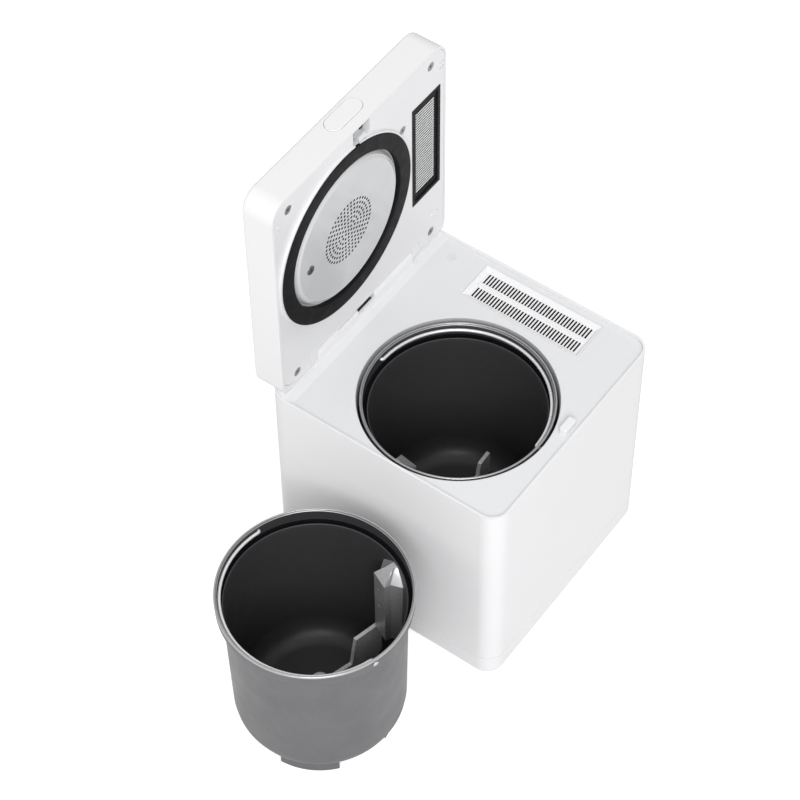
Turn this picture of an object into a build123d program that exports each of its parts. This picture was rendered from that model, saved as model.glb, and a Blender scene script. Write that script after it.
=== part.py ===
"""Countertop electric food waste composter: a square machine with a hinged lid, one bucket
in the machine and a second, identical bucket standing beside it. Millimetres, +Z up, origin
on the floor under the centre of the machine. The lid stands open at a right angle."""

import math
import os

from build123d import *

os.makedirs("parts", exist_ok=True)

# ---------------------------------------------------------------- driving dimensions
body_width = 270.0
body_depth = 274.0
rim_height = 277.0
lid_thickness = 35.6
corner_radius = 19.5
wall = 2.6
seam_height = 30.0
foot_height = 2.0
lid_gap = 0.4
seat_gap = 0.3
run_gap = 0.05

deck_recess = 3.0
deck_thickness = 3.0

bucket_x = -30.5
bucket_y = -18.3
bucket_height = 210.0
lip_radius = 96.8
lip_drop = 1.6
throat_radius = 100.4

spare_x = -(body_width / 2 + 124)
spare_y = -13.0
spare_turn = 163.0

hinge_radius = 10.8
barrel_radius = 10.3
hump_width = 159.0
pin_radius = 3.0

gear_module = 2.0
drive_teeth = 54
idler_teeth = 44
pinion_teeth = 11

# ---------------------------------------------------------------- derived levels
deck_top = rim_height - deck_recess
deck_bottom = deck_top - deck_thickness
lid_bottom = rim_height + lid_gap
lid_top = lid_bottom + lid_thickness
hinge_y = body_depth / 2 - hinge_radius
hinge_z = lid_bottom + hinge_radius
bucket_top = deck_top - lip_drop
bucket_seat = bucket_top - bucket_height
inner_width = body_width - 2 * wall
inner_depth = body_depth - 2 * wall
inner_radius = corner_radius - wall

# The lid is drawn as it lies when closed. lid_frame's X and Y are the machine's and its
# offset is the height above the floor; lid_side shows it from the right, Y across and Z up;
# lid_front shows it from the front and its offset is the distance towards the front. The
# planes themselves stand the lid open.
lid_origin = (0, hinge_y - hinge_z, hinge_z + hinge_y)
lid_frame = Plane(origin=lid_origin, x_dir=(1, 0, 0), z_dir=(0, 1, 0))
lid_side = Plane(origin=lid_origin, x_dir=(0, 0, -1), z_dir=(1, 0, 0))
lid_front = Plane(origin=lid_origin, x_dir=(1, 0, 0), z_dir=(0, 0, 1))


def save(piece, name):
    """Label a finished piece and write it to its own file."""
    piece.label = name
    export_step(piece, f"parts/{name}.step")


def corners(inset):
    """Four places, one near each corner of the body, this far in from both sides."""
    return GridLocations(body_width - 2 * inset, body_depth - 2 * inset, 2, 2)


# ---------------------------------------------------------------- base pan
pan_floor = 3.0
pan_edge = 5.0
groove_height = 1.2
groove_depth = 0.8
post_size = 24.0
foot_radius = 10.0
foot_inset = 34.0
foot_recess = 1.5
screw_inset = 14.0
screw_radius = 2.0
screw_head_radius = 4.0
screw_head_height = 2.4
screw_recess = 8.0
intake_slots = 7
intake_pitch = 9.0
intake_width = 4.0
intake_length = 50.0
board_x = 20.0
board_y = 92.0
board_z = 14.0
board_width = 150.0
board_depth = 62.0
standoff_inset = 6.0
standoff_radius = 4.0
pan_inside = foot_height + pan_floor

with BuildPart() as base_pan:
    with BuildSketch(Plane.XY.offset(foot_height)):
        RectangleRounded(body_width, body_depth, corner_radius)
    extrude(amount=seam_height - groove_height - foot_height)
    fillet(base_pan.faces().sort_by(Axis.Z)[0].edges(), pan_edge)
    with BuildSketch(Plane.XY.offset(seam_height - groove_height)):
        RectangleRounded(
            body_width - 2 * groove_depth,
            body_depth - 2 * groove_depth,
            corner_radius - groove_depth,
        )
    extrude(amount=groove_height)
    with BuildSketch(Plane.XY.offset(pan_inside)):
        RectangleRounded(inner_width, inner_depth, inner_radius)
        with corners(post_size / 2):
            Rectangle(post_size, post_size, mode=Mode.SUBTRACT)
        with Locations((board_x, board_y)):
            with GridLocations(
                board_width - 2 * standoff_inset, board_depth - 2 * standoff_inset, 2, 2
            ):
                Circle(standoff_radius, mode=Mode.SUBTRACT)
    extrude(amount=seam_height, mode=Mode.SUBTRACT)
    with BuildSketch(Plane.XY.offset(board_z)):
        with Locations((board_x, board_y)):
            Rectangle(board_width, board_depth)
    extrude(amount=seam_height, mode=Mode.SUBTRACT)
    with BuildSketch(Plane.XY.offset(foot_height)):
        with corners(foot_inset):
            Circle(foot_radius + run_gap)
    extrude(amount=foot_recess, mode=Mode.SUBTRACT)
    with BuildSketch(Plane.XY.offset(foot_height)):
        with corners(screw_inset):
            Circle(screw_head_radius + seat_gap)
    extrude(amount=screw_recess, mode=Mode.SUBTRACT)
    with BuildSketch(Plane.XY.offset(foot_height)):
        with corners(screw_inset):
            Circle(screw_radius)
    extrude(amount=seam_height, mode=Mode.SUBTRACT)
    with BuildSketch(Plane.XY.offset(foot_height)):
        with Locations((board_x, board_y)):
            with GridLocations(intake_pitch, 0, intake_slots, 1):
                SlotOverall(intake_length, intake_width, rotation=90)
    extrude(amount=pan_floor, mode=Mode.SUBTRACT)
save(base_pan.part, "base_pan")

with BuildPart() as rubber_feet:
    with BuildSketch():
        with corners(foot_inset):
            Circle(foot_radius)
    extrude(amount=foot_height + foot_recess)
save(rubber_feet.part, "rubber_feet")

# ---------------------------------------------------------------- outer shell
inlet_x = -80.0
inlet_z = 58.0
inlet_width = 28.0
inlet_height = 21.0
exhaust_x = 91.0
exhaust_z = 184.0
exhaust_width = 40.0
exhaust_height = 66.0
screw_grip = 14.0
low_post_height = 30.0
high_post_height = 16.0

with BuildPart() as outer_shell:
    with BuildSketch(Plane.XY.offset(seam_height)):
        RectangleRounded(body_width, body_depth, corner_radius)
    extrude(amount=rim_height - seam_height)
    with BuildSketch(Plane.XY.offset(seam_height)):
        RectangleRounded(inner_width, inner_depth, inner_radius)
        with corners(post_size / 2):
            Rectangle(post_size, post_size, mode=Mode.SUBTRACT)
    extrude(amount=rim_height, mode=Mode.SUBTRACT)
    with BuildSketch(Plane.XY.offset(seam_height + low_post_height)):
        RectangleRounded(inner_width, inner_depth, inner_radius)
    extrude(amount=deck_bottom - high_post_height - seam_height - low_post_height, mode=Mode.SUBTRACT)
    with BuildSketch(Plane.XY.offset(deck_bottom)):
        RectangleRounded(inner_width, inner_depth, inner_radius)
    extrude(amount=rim_height, mode=Mode.SUBTRACT)
    with BuildSketch(Plane.XY.offset(seam_height)):
        with corners(screw_inset):
            Circle(screw_radius)
    extrude(amount=screw_grip, mode=Mode.SUBTRACT)
    with BuildSketch(Plane.XZ.offset(-body_depth / 2)):
        with Locations((inlet_x, inlet_z)):
            Rectangle(inlet_width, inlet_height)
        with Locations((exhaust_x, exhaust_z)):
            Rectangle(exhaust_width, exhaust_height)
    extrude(amount=wall, mode=Mode.SUBTRACT)
save(outer_shell.part, "outer_shell")

screw_head_z = foot_height + screw_recess - screw_head_height
with BuildPart() as base_screws:
    with BuildSketch(Plane.XY.offset(screw_head_z)):
        with corners(screw_inset):
            Circle(screw_head_radius)
    extrude(amount=screw_head_height)
    with BuildSketch(Plane.XY.offset(screw_head_z)):
        with corners(screw_inset):
            Circle(screw_radius)
    extrude(amount=seam_height + screw_grip - screw_head_z)
    with BuildSketch(Plane.XY.offset(screw_head_z)):
        with corners(screw_inset):
            RegularPolygon(screw_head_radius / 2, 6)
    extrude(amount=screw_head_height / 2, mode=Mode.SUBTRACT)
save(base_screws.part, "base_screws")

# ---------------------------------------------------------------- vent tray in the deck
vent_x = 102.3
vent_y = -14.4
vent_width = 46.5
vent_depth = 139.5
vent_bevel = 4.6
vent_sink = 4.0
vent_floor = 2.0
vent_flange = 2.4
vent_rib_width = 6.4
vent_rib_height = 1.6
vent_pitch = 3.6
vent_slots = 35
vent_slot_width = 1.9
vent_slot_length = 13.4
vent_row = 10.4
tray_floor_z = deck_top - vent_sink
tray_bottom = tray_floor_z - vent_floor

with BuildPart() as vent_tray:
    with BuildSketch(Plane.XY.offset(tray_bottom)):
        with Locations((vent_x, vent_y)):
            Rectangle(vent_width + 2 * vent_flange, vent_depth + 2 * vent_flange)
    extrude(amount=deck_bottom - tray_bottom)
    with BuildSketch(Plane.XY.offset(deck_bottom)):
        with Locations((vent_x, vent_y)):
            Rectangle(vent_width, vent_depth)
    extrude(amount=deck_thickness)
    with BuildSketch(Plane.XY.offset(deck_top)):
        with Locations((vent_x, vent_y)):
            Rectangle(vent_width - 2, vent_depth - 2)
    with BuildSketch(Plane.XY.offset(tray_floor_z)):
        with Locations((vent_x, vent_y)):
            Rectangle(vent_width - 2 * vent_bevel, vent_depth - 2 * vent_bevel)
    loft(mode=Mode.SUBTRACT)
    with BuildSketch(Plane.XY.offset(tray_floor_z)):
        with Locations((vent_x, vent_y)):
            Rectangle(vent_rib_width, vent_depth - 2 * vent_bevel)
    extrude(amount=vent_rib_height, taper=30)
    with BuildSketch(Plane.XY.offset(tray_bottom)):
        with Locations((vent_x, vent_y)):
            with GridLocations(2 * vent_row, vent_pitch, 2, vent_slots):
                Rectangle(vent_slot_length, vent_slot_width)
    extrude(amount=vent_floor, mode=Mode.SUBTRACT)
save(vent_tray.part, "vent_tray")

# ---------------------------------------------------------------- deck panel with hinge hump
deck_margin = 0.15
ramp_start = 108.0
ramp_end = 115.6
ramp_top = rim_height - 0.2
hump_front = hinge_y - barrel_radius
hump_back = body_depth / 2 - wall - deck_margin
seam_x = 43.0
seam_width = 0.5
seam_depth = 0.5
slot_x = 1.9
slot_width = 27.4
slot_floor = hinge_z - 2.2
slot_ledge = 3.0
pit_depth = 9.0
relief_floor = hinge_z + 4.6
pit_length = hump_back - hump_front - slot_ledge - wall
sensor_x = 113.0
sensor_y = 91.0
sensor_radius = 5.0
striker_x = 0.0
striker_y = -125.6
striker_width = 19.0
striker_depth = 8.8
striker_peg = 5.0

with BuildPart() as deck_panel:
    with BuildSketch(Plane.XY.offset(deck_bottom)):
        RectangleRounded(
            inner_width - 2 * deck_margin, inner_depth - 2 * deck_margin, inner_radius
        )
    extrude(amount=ramp_top - deck_bottom)
    with BuildSketch(Plane.YZ):
        with BuildLine():
            Polyline(
                (-body_depth, deck_top),
                (ramp_start, deck_top),
                (ramp_end, ramp_top),
                (ramp_end, rim_height + 1),
                (-body_depth, rim_height + 1),
                close=True,
            )
        make_face()
    extrude(amount=body_width, both=True, mode=Mode.SUBTRACT)
    with BuildSketch(Plane.YZ):
        with BuildLine():
            Line((hump_front, hinge_z), (hump_front, deck_bottom))
            Line((hump_front, deck_bottom), (hump_back, deck_bottom))
            Line((hump_back, deck_bottom), (hump_back, rim_height + lid_gap))
            Line(
                (hump_back, rim_height + lid_gap),
                (hinge_y + barrel_radius, rim_height + lid_gap),
            )
            Line(
                (hinge_y + barrel_radius, rim_height + lid_gap),
                (hinge_y + barrel_radius, hinge_z),
            )
            ThreePointArc(
                (hinge_y + barrel_radius, hinge_z),
                (hinge_y, hinge_z + barrel_radius),
                (hump_front, hinge_z),
            )
        make_face()
    extrude(amount=hump_width / 2, both=True)
    with BuildSketch(Plane.XY.offset(deck_bottom)):
        with Locations((bucket_x, bucket_y)):
            Circle(throat_radius)
        with Locations((vent_x, vent_y)):
            Rectangle(vent_width + 2 * seat_gap, vent_depth + 2 * seat_gap)
        with Locations((sensor_x, sensor_y)):
            Circle(sensor_radius)
        with Locations((striker_x, striker_y)):
            Rectangle(striker_peg, striker_peg)
    extrude(amount=deck_thickness, mode=Mode.SUBTRACT)
    for side in (-1, 1):
        with BuildSketch(Plane.YZ.offset(side * hump_width / 2)):
            with Locations((hinge_y, hinge_z)):
                Circle(pin_radius)
        extrude(amount=-side * 8, mode=Mode.SUBTRACT)
        with BuildSketch(Plane.YZ.offset(side * seam_x)):
            with Locations((hinge_y, hinge_z)):
                Circle(hinge_radius)
                Circle(barrel_radius - seam_depth, mode=Mode.SUBTRACT)
                Rectangle(
                    2 * hinge_radius,
                    hinge_radius,
                    align=(Align.CENTER, Align.MAX),
                    mode=Mode.SUBTRACT,
                )
        extrude(amount=side * seam_width, mode=Mode.SUBTRACT)
    with BuildSketch(Plane.XY.offset(slot_floor)):
        with Locations((slot_x, hinge_y)):
            Rectangle(slot_width, 2 * hinge_radius)
    extrude(amount=2 * hinge_radius, mode=Mode.SUBTRACT)
    with BuildSketch(Plane.XY.offset(slot_floor)):
        with Locations((slot_x, hump_front + slot_ledge)):
            Rectangle(slot_width, pit_length, align=(Align.CENTER, Align.MIN))
    extrude(amount=-pit_depth, mode=Mode.SUBTRACT)
    with BuildSketch(Plane.XY.offset(relief_floor)):
        with Locations(((slot_x - slot_width / 2 - seam_x) / 2, hinge_y)):
            Rectangle(seam_x + slot_x - slot_width / 2, 2 * hinge_radius)
    extrude(amount=hinge_radius, mode=Mode.SUBTRACT)
save(deck_panel.part, "deck_panel")

with BuildPart() as lid_sensor:
    with BuildSketch(Plane.XY.offset(deck_bottom)):
        with Locations((sensor_x, sensor_y)):
            Circle(sensor_radius)
    extrude(amount=deck_thickness)
    with BuildSketch(Plane.XY.offset(deck_bottom - 4)):
        with Locations((sensor_x, sensor_y)):
            Circle(sensor_radius + 1.5)
    extrude(amount=4)
save(lid_sensor.part, "lid_sensor")

with BuildPart() as hinge_pins:
    for side in (-1, 1):
        with BuildSketch(Plane.YZ.offset(side * (hump_width / 2 - 8))):
            with Locations((hinge_y, hinge_z)):
                Circle(pin_radius)
        extrude(amount=side * 16)
save(hinge_pins.part, "hinge_pins")

grommet_sink = 1.0
with BuildPart() as harness_grommet:
    with BuildSketch(Plane.XY.offset(slot_floor - pit_depth)):
        with Locations((slot_x, hump_front + slot_ledge)):
            Rectangle(slot_width, pit_length, align=(Align.CENTER, Align.MIN))
    extrude(amount=pit_depth - grommet_sink)
    fillet(harness_grommet.faces().sort_by(Axis.Z)[-1].edges(), grommet_sink)
    with BuildSketch(Plane.XY.offset(slot_floor - pit_depth)):
        with Locations((slot_x, hump_front + slot_ledge + pit_length / 2)):
            SlotOverall(slot_width / 2, pit_length / 3)
    extrude(amount=pit_depth, mode=Mode.SUBTRACT)
save(harness_grommet.part, "harness_grommet")

# ---------------------------------------------------------------- latch striker
striker_top = deck_top + 8.0
striker_lip = 2.6
striker_undercut = 2.4

with BuildPart() as latch_striker:
    with BuildSketch(Plane.XY.offset(deck_top)):
        with Locations((striker_x, striker_y)):
            RectangleRounded(striker_width, striker_depth, 2.4)
    extrude(amount=striker_top - deck_top)
    fillet(latch_striker.faces().sort_by(Axis.Z)[-1].edges(), 1.2)
    with BuildSketch(Plane.XY.offset(deck_top + 1.2)):
        with Locations((striker_x, striker_y + striker_depth / 2)):
            Rectangle(13, 2 * striker_undercut)
    extrude(amount=striker_top - striker_lip - deck_top - 1.2, mode=Mode.SUBTRACT)
    with BuildSketch(Plane.XY.offset(deck_bottom)):
        with Locations((striker_x, striker_y)):
            Rectangle(striker_peg, striker_peg)
    extrude(amount=deck_thickness)
save(latch_striker.part, "latch_striker")

# ---------------------------------------------------------------- funnel ring and bucket well
funnel_wall = 1.0
funnel_base = deck_bottom - 9.0
well_radius = lip_radius + 1.7
well_wall = 1.2
shoulder_drop = 22.0
shoulder_height = 9.0
can_radius = 91.2
shaft_radius = 6.0
bucket_axis = Axis((bucket_x, bucket_y, 0), (0, 0, 1))

with BuildPart() as funnel_ring:
    with BuildSketch(Plane.XZ.offset(-bucket_y)):
        with BuildLine():
            Polyline(
                (bucket_x + throat_radius, deck_top),
                (bucket_x + throat_radius, deck_bottom),
                (bucket_x + throat_radius + funnel_wall, deck_bottom),
                (bucket_x + throat_radius + funnel_wall, deck_bottom - 1.6),
                (bucket_x + well_radius + funnel_wall, deck_bottom - 1.6),
                (bucket_x + well_radius + funnel_wall, funnel_base),
                (bucket_x + well_radius, funnel_base),
                (bucket_x + well_radius, deck_bottom - 5),
                (bucket_x + throat_radius - 0.4, deck_top),
                close=True,
            )
        make_face()
    revolve(axis=bucket_axis)
save(funnel_ring.part, "funnel_ring")

well_top = funnel_base
shoulder_top = bucket_top - shoulder_drop
well_bottom = bucket_seat - well_wall
with BuildPart() as bucket_well:
    with BuildSketch(Plane.XZ.offset(-bucket_y)):
        with BuildLine():
            Polyline(
                (bucket_x, well_bottom),
                (bucket_x + can_radius + well_wall, well_bottom),
                (bucket_x + can_radius + well_wall, shoulder_top - shoulder_height),
                (bucket_x + well_radius + well_wall, shoulder_top),
                (bucket_x + well_radius + well_wall, well_top - 2),
                (bucket_x + throat_radius + funnel_wall, well_top - 2),
                (bucket_x + throat_radius + funnel_wall, well_top),
                (bucket_x + well_radius, well_top),
                (bucket_x + well_radius, shoulder_top + 0.5),
                (bucket_x + can_radius, shoulder_top - shoulder_height + 0.5),
                (bucket_x + can_radius, bucket_seat),
                (bucket_x, bucket_seat),
                close=True,
            )
        make_face()
    revolve(axis=bucket_axis)
    with BuildSketch(Plane.XY.offset(well_bottom)):
        with Locations((bucket_x, bucket_y)):
            Circle(2 * shaft_radius)
    extrude(amount=well_wall, mode=Mode.SUBTRACT)
save(bucket_well.part, "bucket_well")

heater_low = bucket_seat + 18.0
heater_high = bucket_seat + 98.0
heater_thickness = 2.0
with BuildPart() as heater_band:
    with BuildSketch(Plane.XY.offset(heater_low)):
        with Locations((bucket_x, bucket_y)):
            Circle(can_radius + well_wall + heater_thickness)
            Circle(can_radius + well_wall, mode=Mode.SUBTRACT)
    extrude(amount=heater_high - heater_low)
    with BuildSketch(Plane.XY.offset((heater_low + heater_high) / 2 - 17)):
        with Locations((bucket_x, bucket_y - can_radius - 4)):
            Rectangle(16, 8)
        with Locations((bucket_x, bucket_y)):
            Circle(can_radius + well_wall, mode=Mode.SUBTRACT)
    extrude(amount=34)
save(heater_band.part, "heater_band")

with BuildPart() as shaft_seal:
    with BuildSketch(Plane.XY.offset(well_bottom - 2)):
        with Locations((bucket_x, bucket_y)):
            Circle(2 * shaft_radius + 3)
    extrude(amount=2)
    with BuildSketch(Plane.XY.offset(well_bottom)):
        with Locations((bucket_x, bucket_y)):
            Circle(2 * shaft_radius)
    extrude(amount=well_wall + 0.5)
    with BuildSketch(Plane.XY.offset(well_bottom - 2)):
        with Locations((bucket_x, bucket_y)):
            Circle(shaft_radius + run_gap)
    extrude(amount=well_wall + 4, mode=Mode.SUBTRACT)
save(shaft_seal.part, "shaft_seal")

# ---------------------------------------------------------------- gear train
tooth_share = 0.40
tooth_addendum = 0.8
tooth_dedendum = 1.25
pressure_angle = 20.0
gearbox_wall = 2.5
tray_z = pan_inside + 4.0
low_gear_z = tray_z + gearbox_wall + 2.0
low_gear_height = 9.0
high_gear_z = low_gear_z + low_gear_height + 2.0
high_gear_height = 11.0
cover_z = high_gear_z + high_gear_height + 2.0
bush_wall = 2.0
idler_pin_radius = 3.0
drive_radius = gear_module * drive_teeth / 2
idler_radius = gear_module * idler_teeth / 2
pinion_radius = gear_module * pinion_teeth / 2
idler_x = bucket_x + drive_radius + pinion_radius
motor_x = idler_x + idler_radius + pinion_radius


def gear_points(teeth, x, y):
    """Outline of a straight-flanked spur gear at (x, y), one tooth pointing along +X."""
    pitch_radius = gear_module * teeth / 2
    root = pitch_radius - tooth_dedendum * gear_module
    tip = pitch_radius + tooth_addendum * gear_module
    half = tooth_share * math.pi * gear_module / 2
    slope = math.tan(math.radians(pressure_angle))
    half_root = half + tooth_dedendum * gear_module * slope
    half_tip = half - tooth_addendum * gear_module * slope
    flanks = [(root, -half_root), (tip, -half_tip), (tip, half_tip), (root, half_root)]
    points = []
    for tooth in range(teeth):
        for radius, offset in flanks:
            angle = 2 * math.pi * tooth / teeth + math.asin(offset / radius)
            points.append((x + radius * math.cos(angle), y + radius * math.sin(angle)))
    return points


with BuildPart() as gearbox_tray:
    with BuildSketch(Plane.XY.offset(tray_z)):
        with Locations((bucket_x, bucket_y)):
            Circle(drive_radius + 6)
        with Locations((idler_x, bucket_y)):
            Circle(idler_radius + 6)
        with Locations((motor_x, bucket_y)):
            Circle(2 * pinion_radius)
        make_hull()
    extrude(amount=cover_z - tray_z)
    with BuildSketch(Plane.XY.offset(tray_z + gearbox_wall)):
        with Locations((bucket_x, bucket_y)):
            Circle(drive_radius + 6 - gearbox_wall)
        with Locations((idler_x, bucket_y)):
            Circle(idler_radius + 6 - gearbox_wall)
        with Locations((motor_x, bucket_y)):
            Circle(2 * pinion_radius - gearbox_wall)
        make_hull()
    extrude(amount=cover_z, mode=Mode.SUBTRACT)
    with BuildSketch(Plane.XY.offset(tray_z + gearbox_wall)):
        with Locations((bucket_x, bucket_y)):
            Circle(shaft_radius + 2 * bush_wall)
        with Locations((idler_x, bucket_y)):
            Circle(idler_pin_radius + bush_wall)
    extrude(amount=1.6)
    with BuildSketch(Plane.XY.offset(pan_inside)):
        for x in (bucket_x - 30, bucket_x + 30, motor_x - 12):
            with Locations((x, bucket_y)):
                with GridLocations(0, 24, 1, 2):
                    Circle(5)
    extrude(amount=tray_z - pan_inside)
    with BuildSketch(Plane.XY.offset(tray_z)):
        with Locations((bucket_x, bucket_y)):
            Circle(shaft_radius + bush_wall)
        with Locations((idler_x, bucket_y)):
            Circle(idler_pin_radius)
    extrude(amount=cover_z, mode=Mode.SUBTRACT)
save(gearbox_tray.part, "gearbox_tray")

cover_thickness = 3.0
with BuildPart() as gearbox_cover:
    with BuildSketch(Plane.XY.offset(cover_z)):
        with Locations((bucket_x, bucket_y)):
            Circle(drive_radius + 6)
        with Locations((idler_x, bucket_y)):
            Circle(idler_radius + 6)
        with Locations((motor_x, bucket_y)):
            Circle(2 * pinion_radius)
        make_hull()
    extrude(amount=cover_thickness)
    with BuildSketch(Plane.XY.offset(cover_z + cover_thickness)):
        with Locations((bucket_x, bucket_y)):
            Circle(shaft_radius + bush_wall + 3)
    extrude(amount=well_bottom - 2 - cover_z - cover_thickness)
    with BuildSketch(Plane.XY.offset(cover_z)):
        with Locations((bucket_x, bucket_y)):
            Circle(shaft_radius + bush_wall)
        with Locations((idler_x, bucket_y)):
            Circle(idler_pin_radius)
        with Locations((motor_x, bucket_y)):
            Circle(pinion_radius)
    extrude(amount=well_bottom, mode=Mode.SUBTRACT)
save(gearbox_cover.part, "gearbox_cover")

with BuildPart() as gearbox_screws:
    with BuildSketch(Plane.XY.offset(cover_z + cover_thickness)):
        for angle in (70, 140, 220, 290):
            with Locations((bucket_x, bucket_y)):
                with PolarLocations(drive_radius + 2.6, 1, start_angle=angle):
                    Circle(2.4)
    extrude(amount=1.8)
save(gearbox_screws.part, "gearbox_screws")

with BuildPart() as shaft_bushes:
    for low, high in (
        (tray_z, tray_z + gearbox_wall + 1.6),
        (cover_z, cover_z + cover_thickness + 4),
    ):
        with BuildSketch(Plane.XY.offset(low)):
            with Locations((bucket_x, bucket_y)):
                Circle(shaft_radius + bush_wall)
                Circle(shaft_radius + run_gap, mode=Mode.SUBTRACT)
        extrude(amount=high - low)
save(shaft_bushes.part, "shaft_bushes")

with BuildPart() as drive_gear:
    with BuildSketch(Plane.XY.offset(high_gear_z)):
        with BuildLine():
            Polyline(*gear_points(drive_teeth, bucket_x, bucket_y), close=True)
        make_face()
        with Locations((bucket_x, bucket_y)):
            Circle(shaft_radius, mode=Mode.SUBTRACT)
            with PolarLocations(drive_radius * 0.56, 6):
                Circle(drive_radius * 0.17, mode=Mode.SUBTRACT)
    extrude(amount=high_gear_height)
save(drive_gear.part, "drive_gear")

coupler_flats = 8.0
coupler_height = 9.0
with BuildPart() as drive_shaft:
    with BuildSketch(Plane.XY.offset(tray_z)):
        with Locations((bucket_x, bucket_y)):
            Circle(shaft_radius)
    extrude(amount=bucket_seat + 0.5 - tray_z)
    with BuildSketch(Plane.XY.offset(bucket_seat + 0.5)):
        with Locations((bucket_x, bucket_y)):
            Rectangle(coupler_flats, coupler_flats)
    extrude(amount=coupler_height)
    chamfer(drive_shaft.faces().sort_by(Axis.Z)[-1].edges(), 1)
save(drive_shaft.part, "drive_shaft")

with BuildPart() as idler_gear:
    with BuildSketch(Plane.XY.offset(low_gear_z)):
        with BuildLine():
            Polyline(*gear_points(idler_teeth, idler_x, bucket_y), close=True)
        make_face()
    extrude(amount=low_gear_height)
    with BuildSketch(Plane.XY.offset(low_gear_z + low_gear_height)):
        with BuildLine():
            Polyline(*gear_points(pinion_teeth, idler_x, bucket_y), close=True)
        make_face()
    extrude(amount=high_gear_z + high_gear_height - low_gear_z - low_gear_height)
    with BuildSketch(Plane.XY.offset(low_gear_z)):
        with Locations((idler_x, bucket_y)):
            Circle(idler_pin_radius + run_gap)
    extrude(amount=cover_z, mode=Mode.SUBTRACT)
save(idler_gear.part, "idler_gear")

with BuildPart() as idler_pin:
    with BuildSketch(Plane.XY.offset(tray_z)):
        with Locations((idler_x, bucket_y)):
            Circle(idler_pin_radius)
    extrude(amount=cover_z + cover_thickness - tray_z)
save(idler_pin.part, "idler_pin")

motor_radius = 19.0
motor_height = 58.0
motor_shaft_radius = 3.0
motor_z = cover_z + cover_thickness
with BuildPart() as motor_pinion:
    with BuildSketch(Plane.XY.offset(low_gear_z)):
        with BuildLine():
            Polyline(*gear_points(pinion_teeth, motor_x, bucket_y), close=True)
        make_face()
    extrude(amount=low_gear_height)
    with BuildSketch(Plane.XY.offset(low_gear_z + low_gear_height)):
        with Locations((motor_x, bucket_y)):
            Circle(motor_shaft_radius)
    extrude(amount=motor_z + 12 - low_gear_z - low_gear_height)
save(motor_pinion.part, "motor_pinion")

with BuildPart() as motor:
    with BuildSketch(Plane.XY.offset(motor_z)):
        with Locations((motor_x, bucket_y)):
            Circle(motor_radius)
            Circle(motor_shaft_radius + run_gap, mode=Mode.SUBTRACT)
    extrude(amount=14)
    with BuildSketch(Plane.XY.offset(motor_z + 14)):
        with Locations((motor_x, bucket_y)):
            Circle(motor_radius)
    extrude(amount=motor_height - 14)
    fillet(motor.faces().sort_by(Axis.Z)[-1].edges(), 2)
    with BuildSketch(Plane.XY.offset(motor_z + motor_height)):
        with Locations((motor_x, bucket_y)):
            Circle(6)
    extrude(amount=3)
save(motor.part, "motor")

# ---------------------------------------------------------------- air path
duct_wall = 1.6
duct_x = vent_x
duct_width = 44.0
fan_size = 54.0
fan_height = 26.0
fan_x = duct_x
fan_y = -48.0
fan_bore = 24.0
duct_bottom = 226.0
fan_bottom = duct_bottom - fan_height
filter_front = fan_y + fan_size / 2
filter_back = body_depth / 2 - wall
filter_x = exhaust_x
filter_width = 49.0
fan_outlet = 21.0
filter_low = 140.0
filter_high = duct_bottom

with BuildPart() as air_duct:
    with BuildSketch(Plane.XY.offset(duct_bottom)):
        with Locations((duct_x, vent_y)):
            Rectangle(duct_width, vent_depth)
    extrude(amount=tray_bottom - duct_bottom)
    with BuildSketch(Plane.XY.offset(duct_bottom + duct_wall)):
        with Locations((duct_x, vent_y)):
            Rectangle(duct_width - 2 * duct_wall, vent_depth - 2 * duct_wall)
    extrude(amount=tray_bottom - duct_bottom, mode=Mode.SUBTRACT)
    with BuildSketch(Plane.XY.offset(duct_bottom)):
        with Locations((fan_x, fan_y)):
            Circle(16)
    extrude(amount=duct_wall, mode=Mode.SUBTRACT)
save(air_duct.part, "air_duct")

with BuildPart() as fan_housing:
    with BuildSketch(Plane.XY.offset(fan_bottom)):
        with Locations((fan_x, fan_y)):
            RectangleRounded(fan_size, fan_size, 3)
    extrude(amount=fan_height)
    with BuildSketch(Plane.XY.offset(fan_bottom + 2)):
        with Locations((fan_x, fan_y)):
            Circle(fan_bore)
        with Locations((fan_x, fan_y + fan_size / 4)):
            Rectangle(fan_outlet, fan_size / 2)
    extrude(amount=fan_height - 4, mode=Mode.SUBTRACT)
    with BuildSketch(Plane.XY.offset(fan_bottom + fan_height - 2)):
        with Locations((fan_x, fan_y)):
            Circle(16)
    extrude(amount=2, mode=Mode.SUBTRACT)
    with BuildSketch(Plane.XY.offset(fan_bottom + 2)):
        with Locations((fan_x, fan_y)):
            Circle(2)
    extrude(amount=14)
save(fan_housing.part, "fan_housing")

fan_blades = 9
with BuildPart() as fan_impeller:
    with BuildSketch(Plane.XY.offset(fan_bottom + 4)):
        with Locations((fan_x, fan_y)):
            Circle(fan_bore - 1.5)
    extrude(amount=1.6)
    with BuildSketch(Plane.XY.offset(fan_bottom + 4)):
        with Locations((fan_x, fan_y)):
            Circle(8)
    extrude(amount=14)
    with BuildSketch(Plane.XY.offset(fan_bottom + 5.6)):
        with Locations((fan_x, fan_y)):
            with PolarLocations(15.5, fan_blades):
                Rectangle(13.4, 1.2, rotation=28)
    extrude(amount=12.4)
    with BuildSketch(Plane.XY.offset(fan_bottom + 4)):
        with Locations((fan_x, fan_y)):
            Circle(2 + run_gap)
    extrude(amount=12.3, mode=Mode.SUBTRACT)
save(fan_impeller.part, "fan_impeller")

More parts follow.
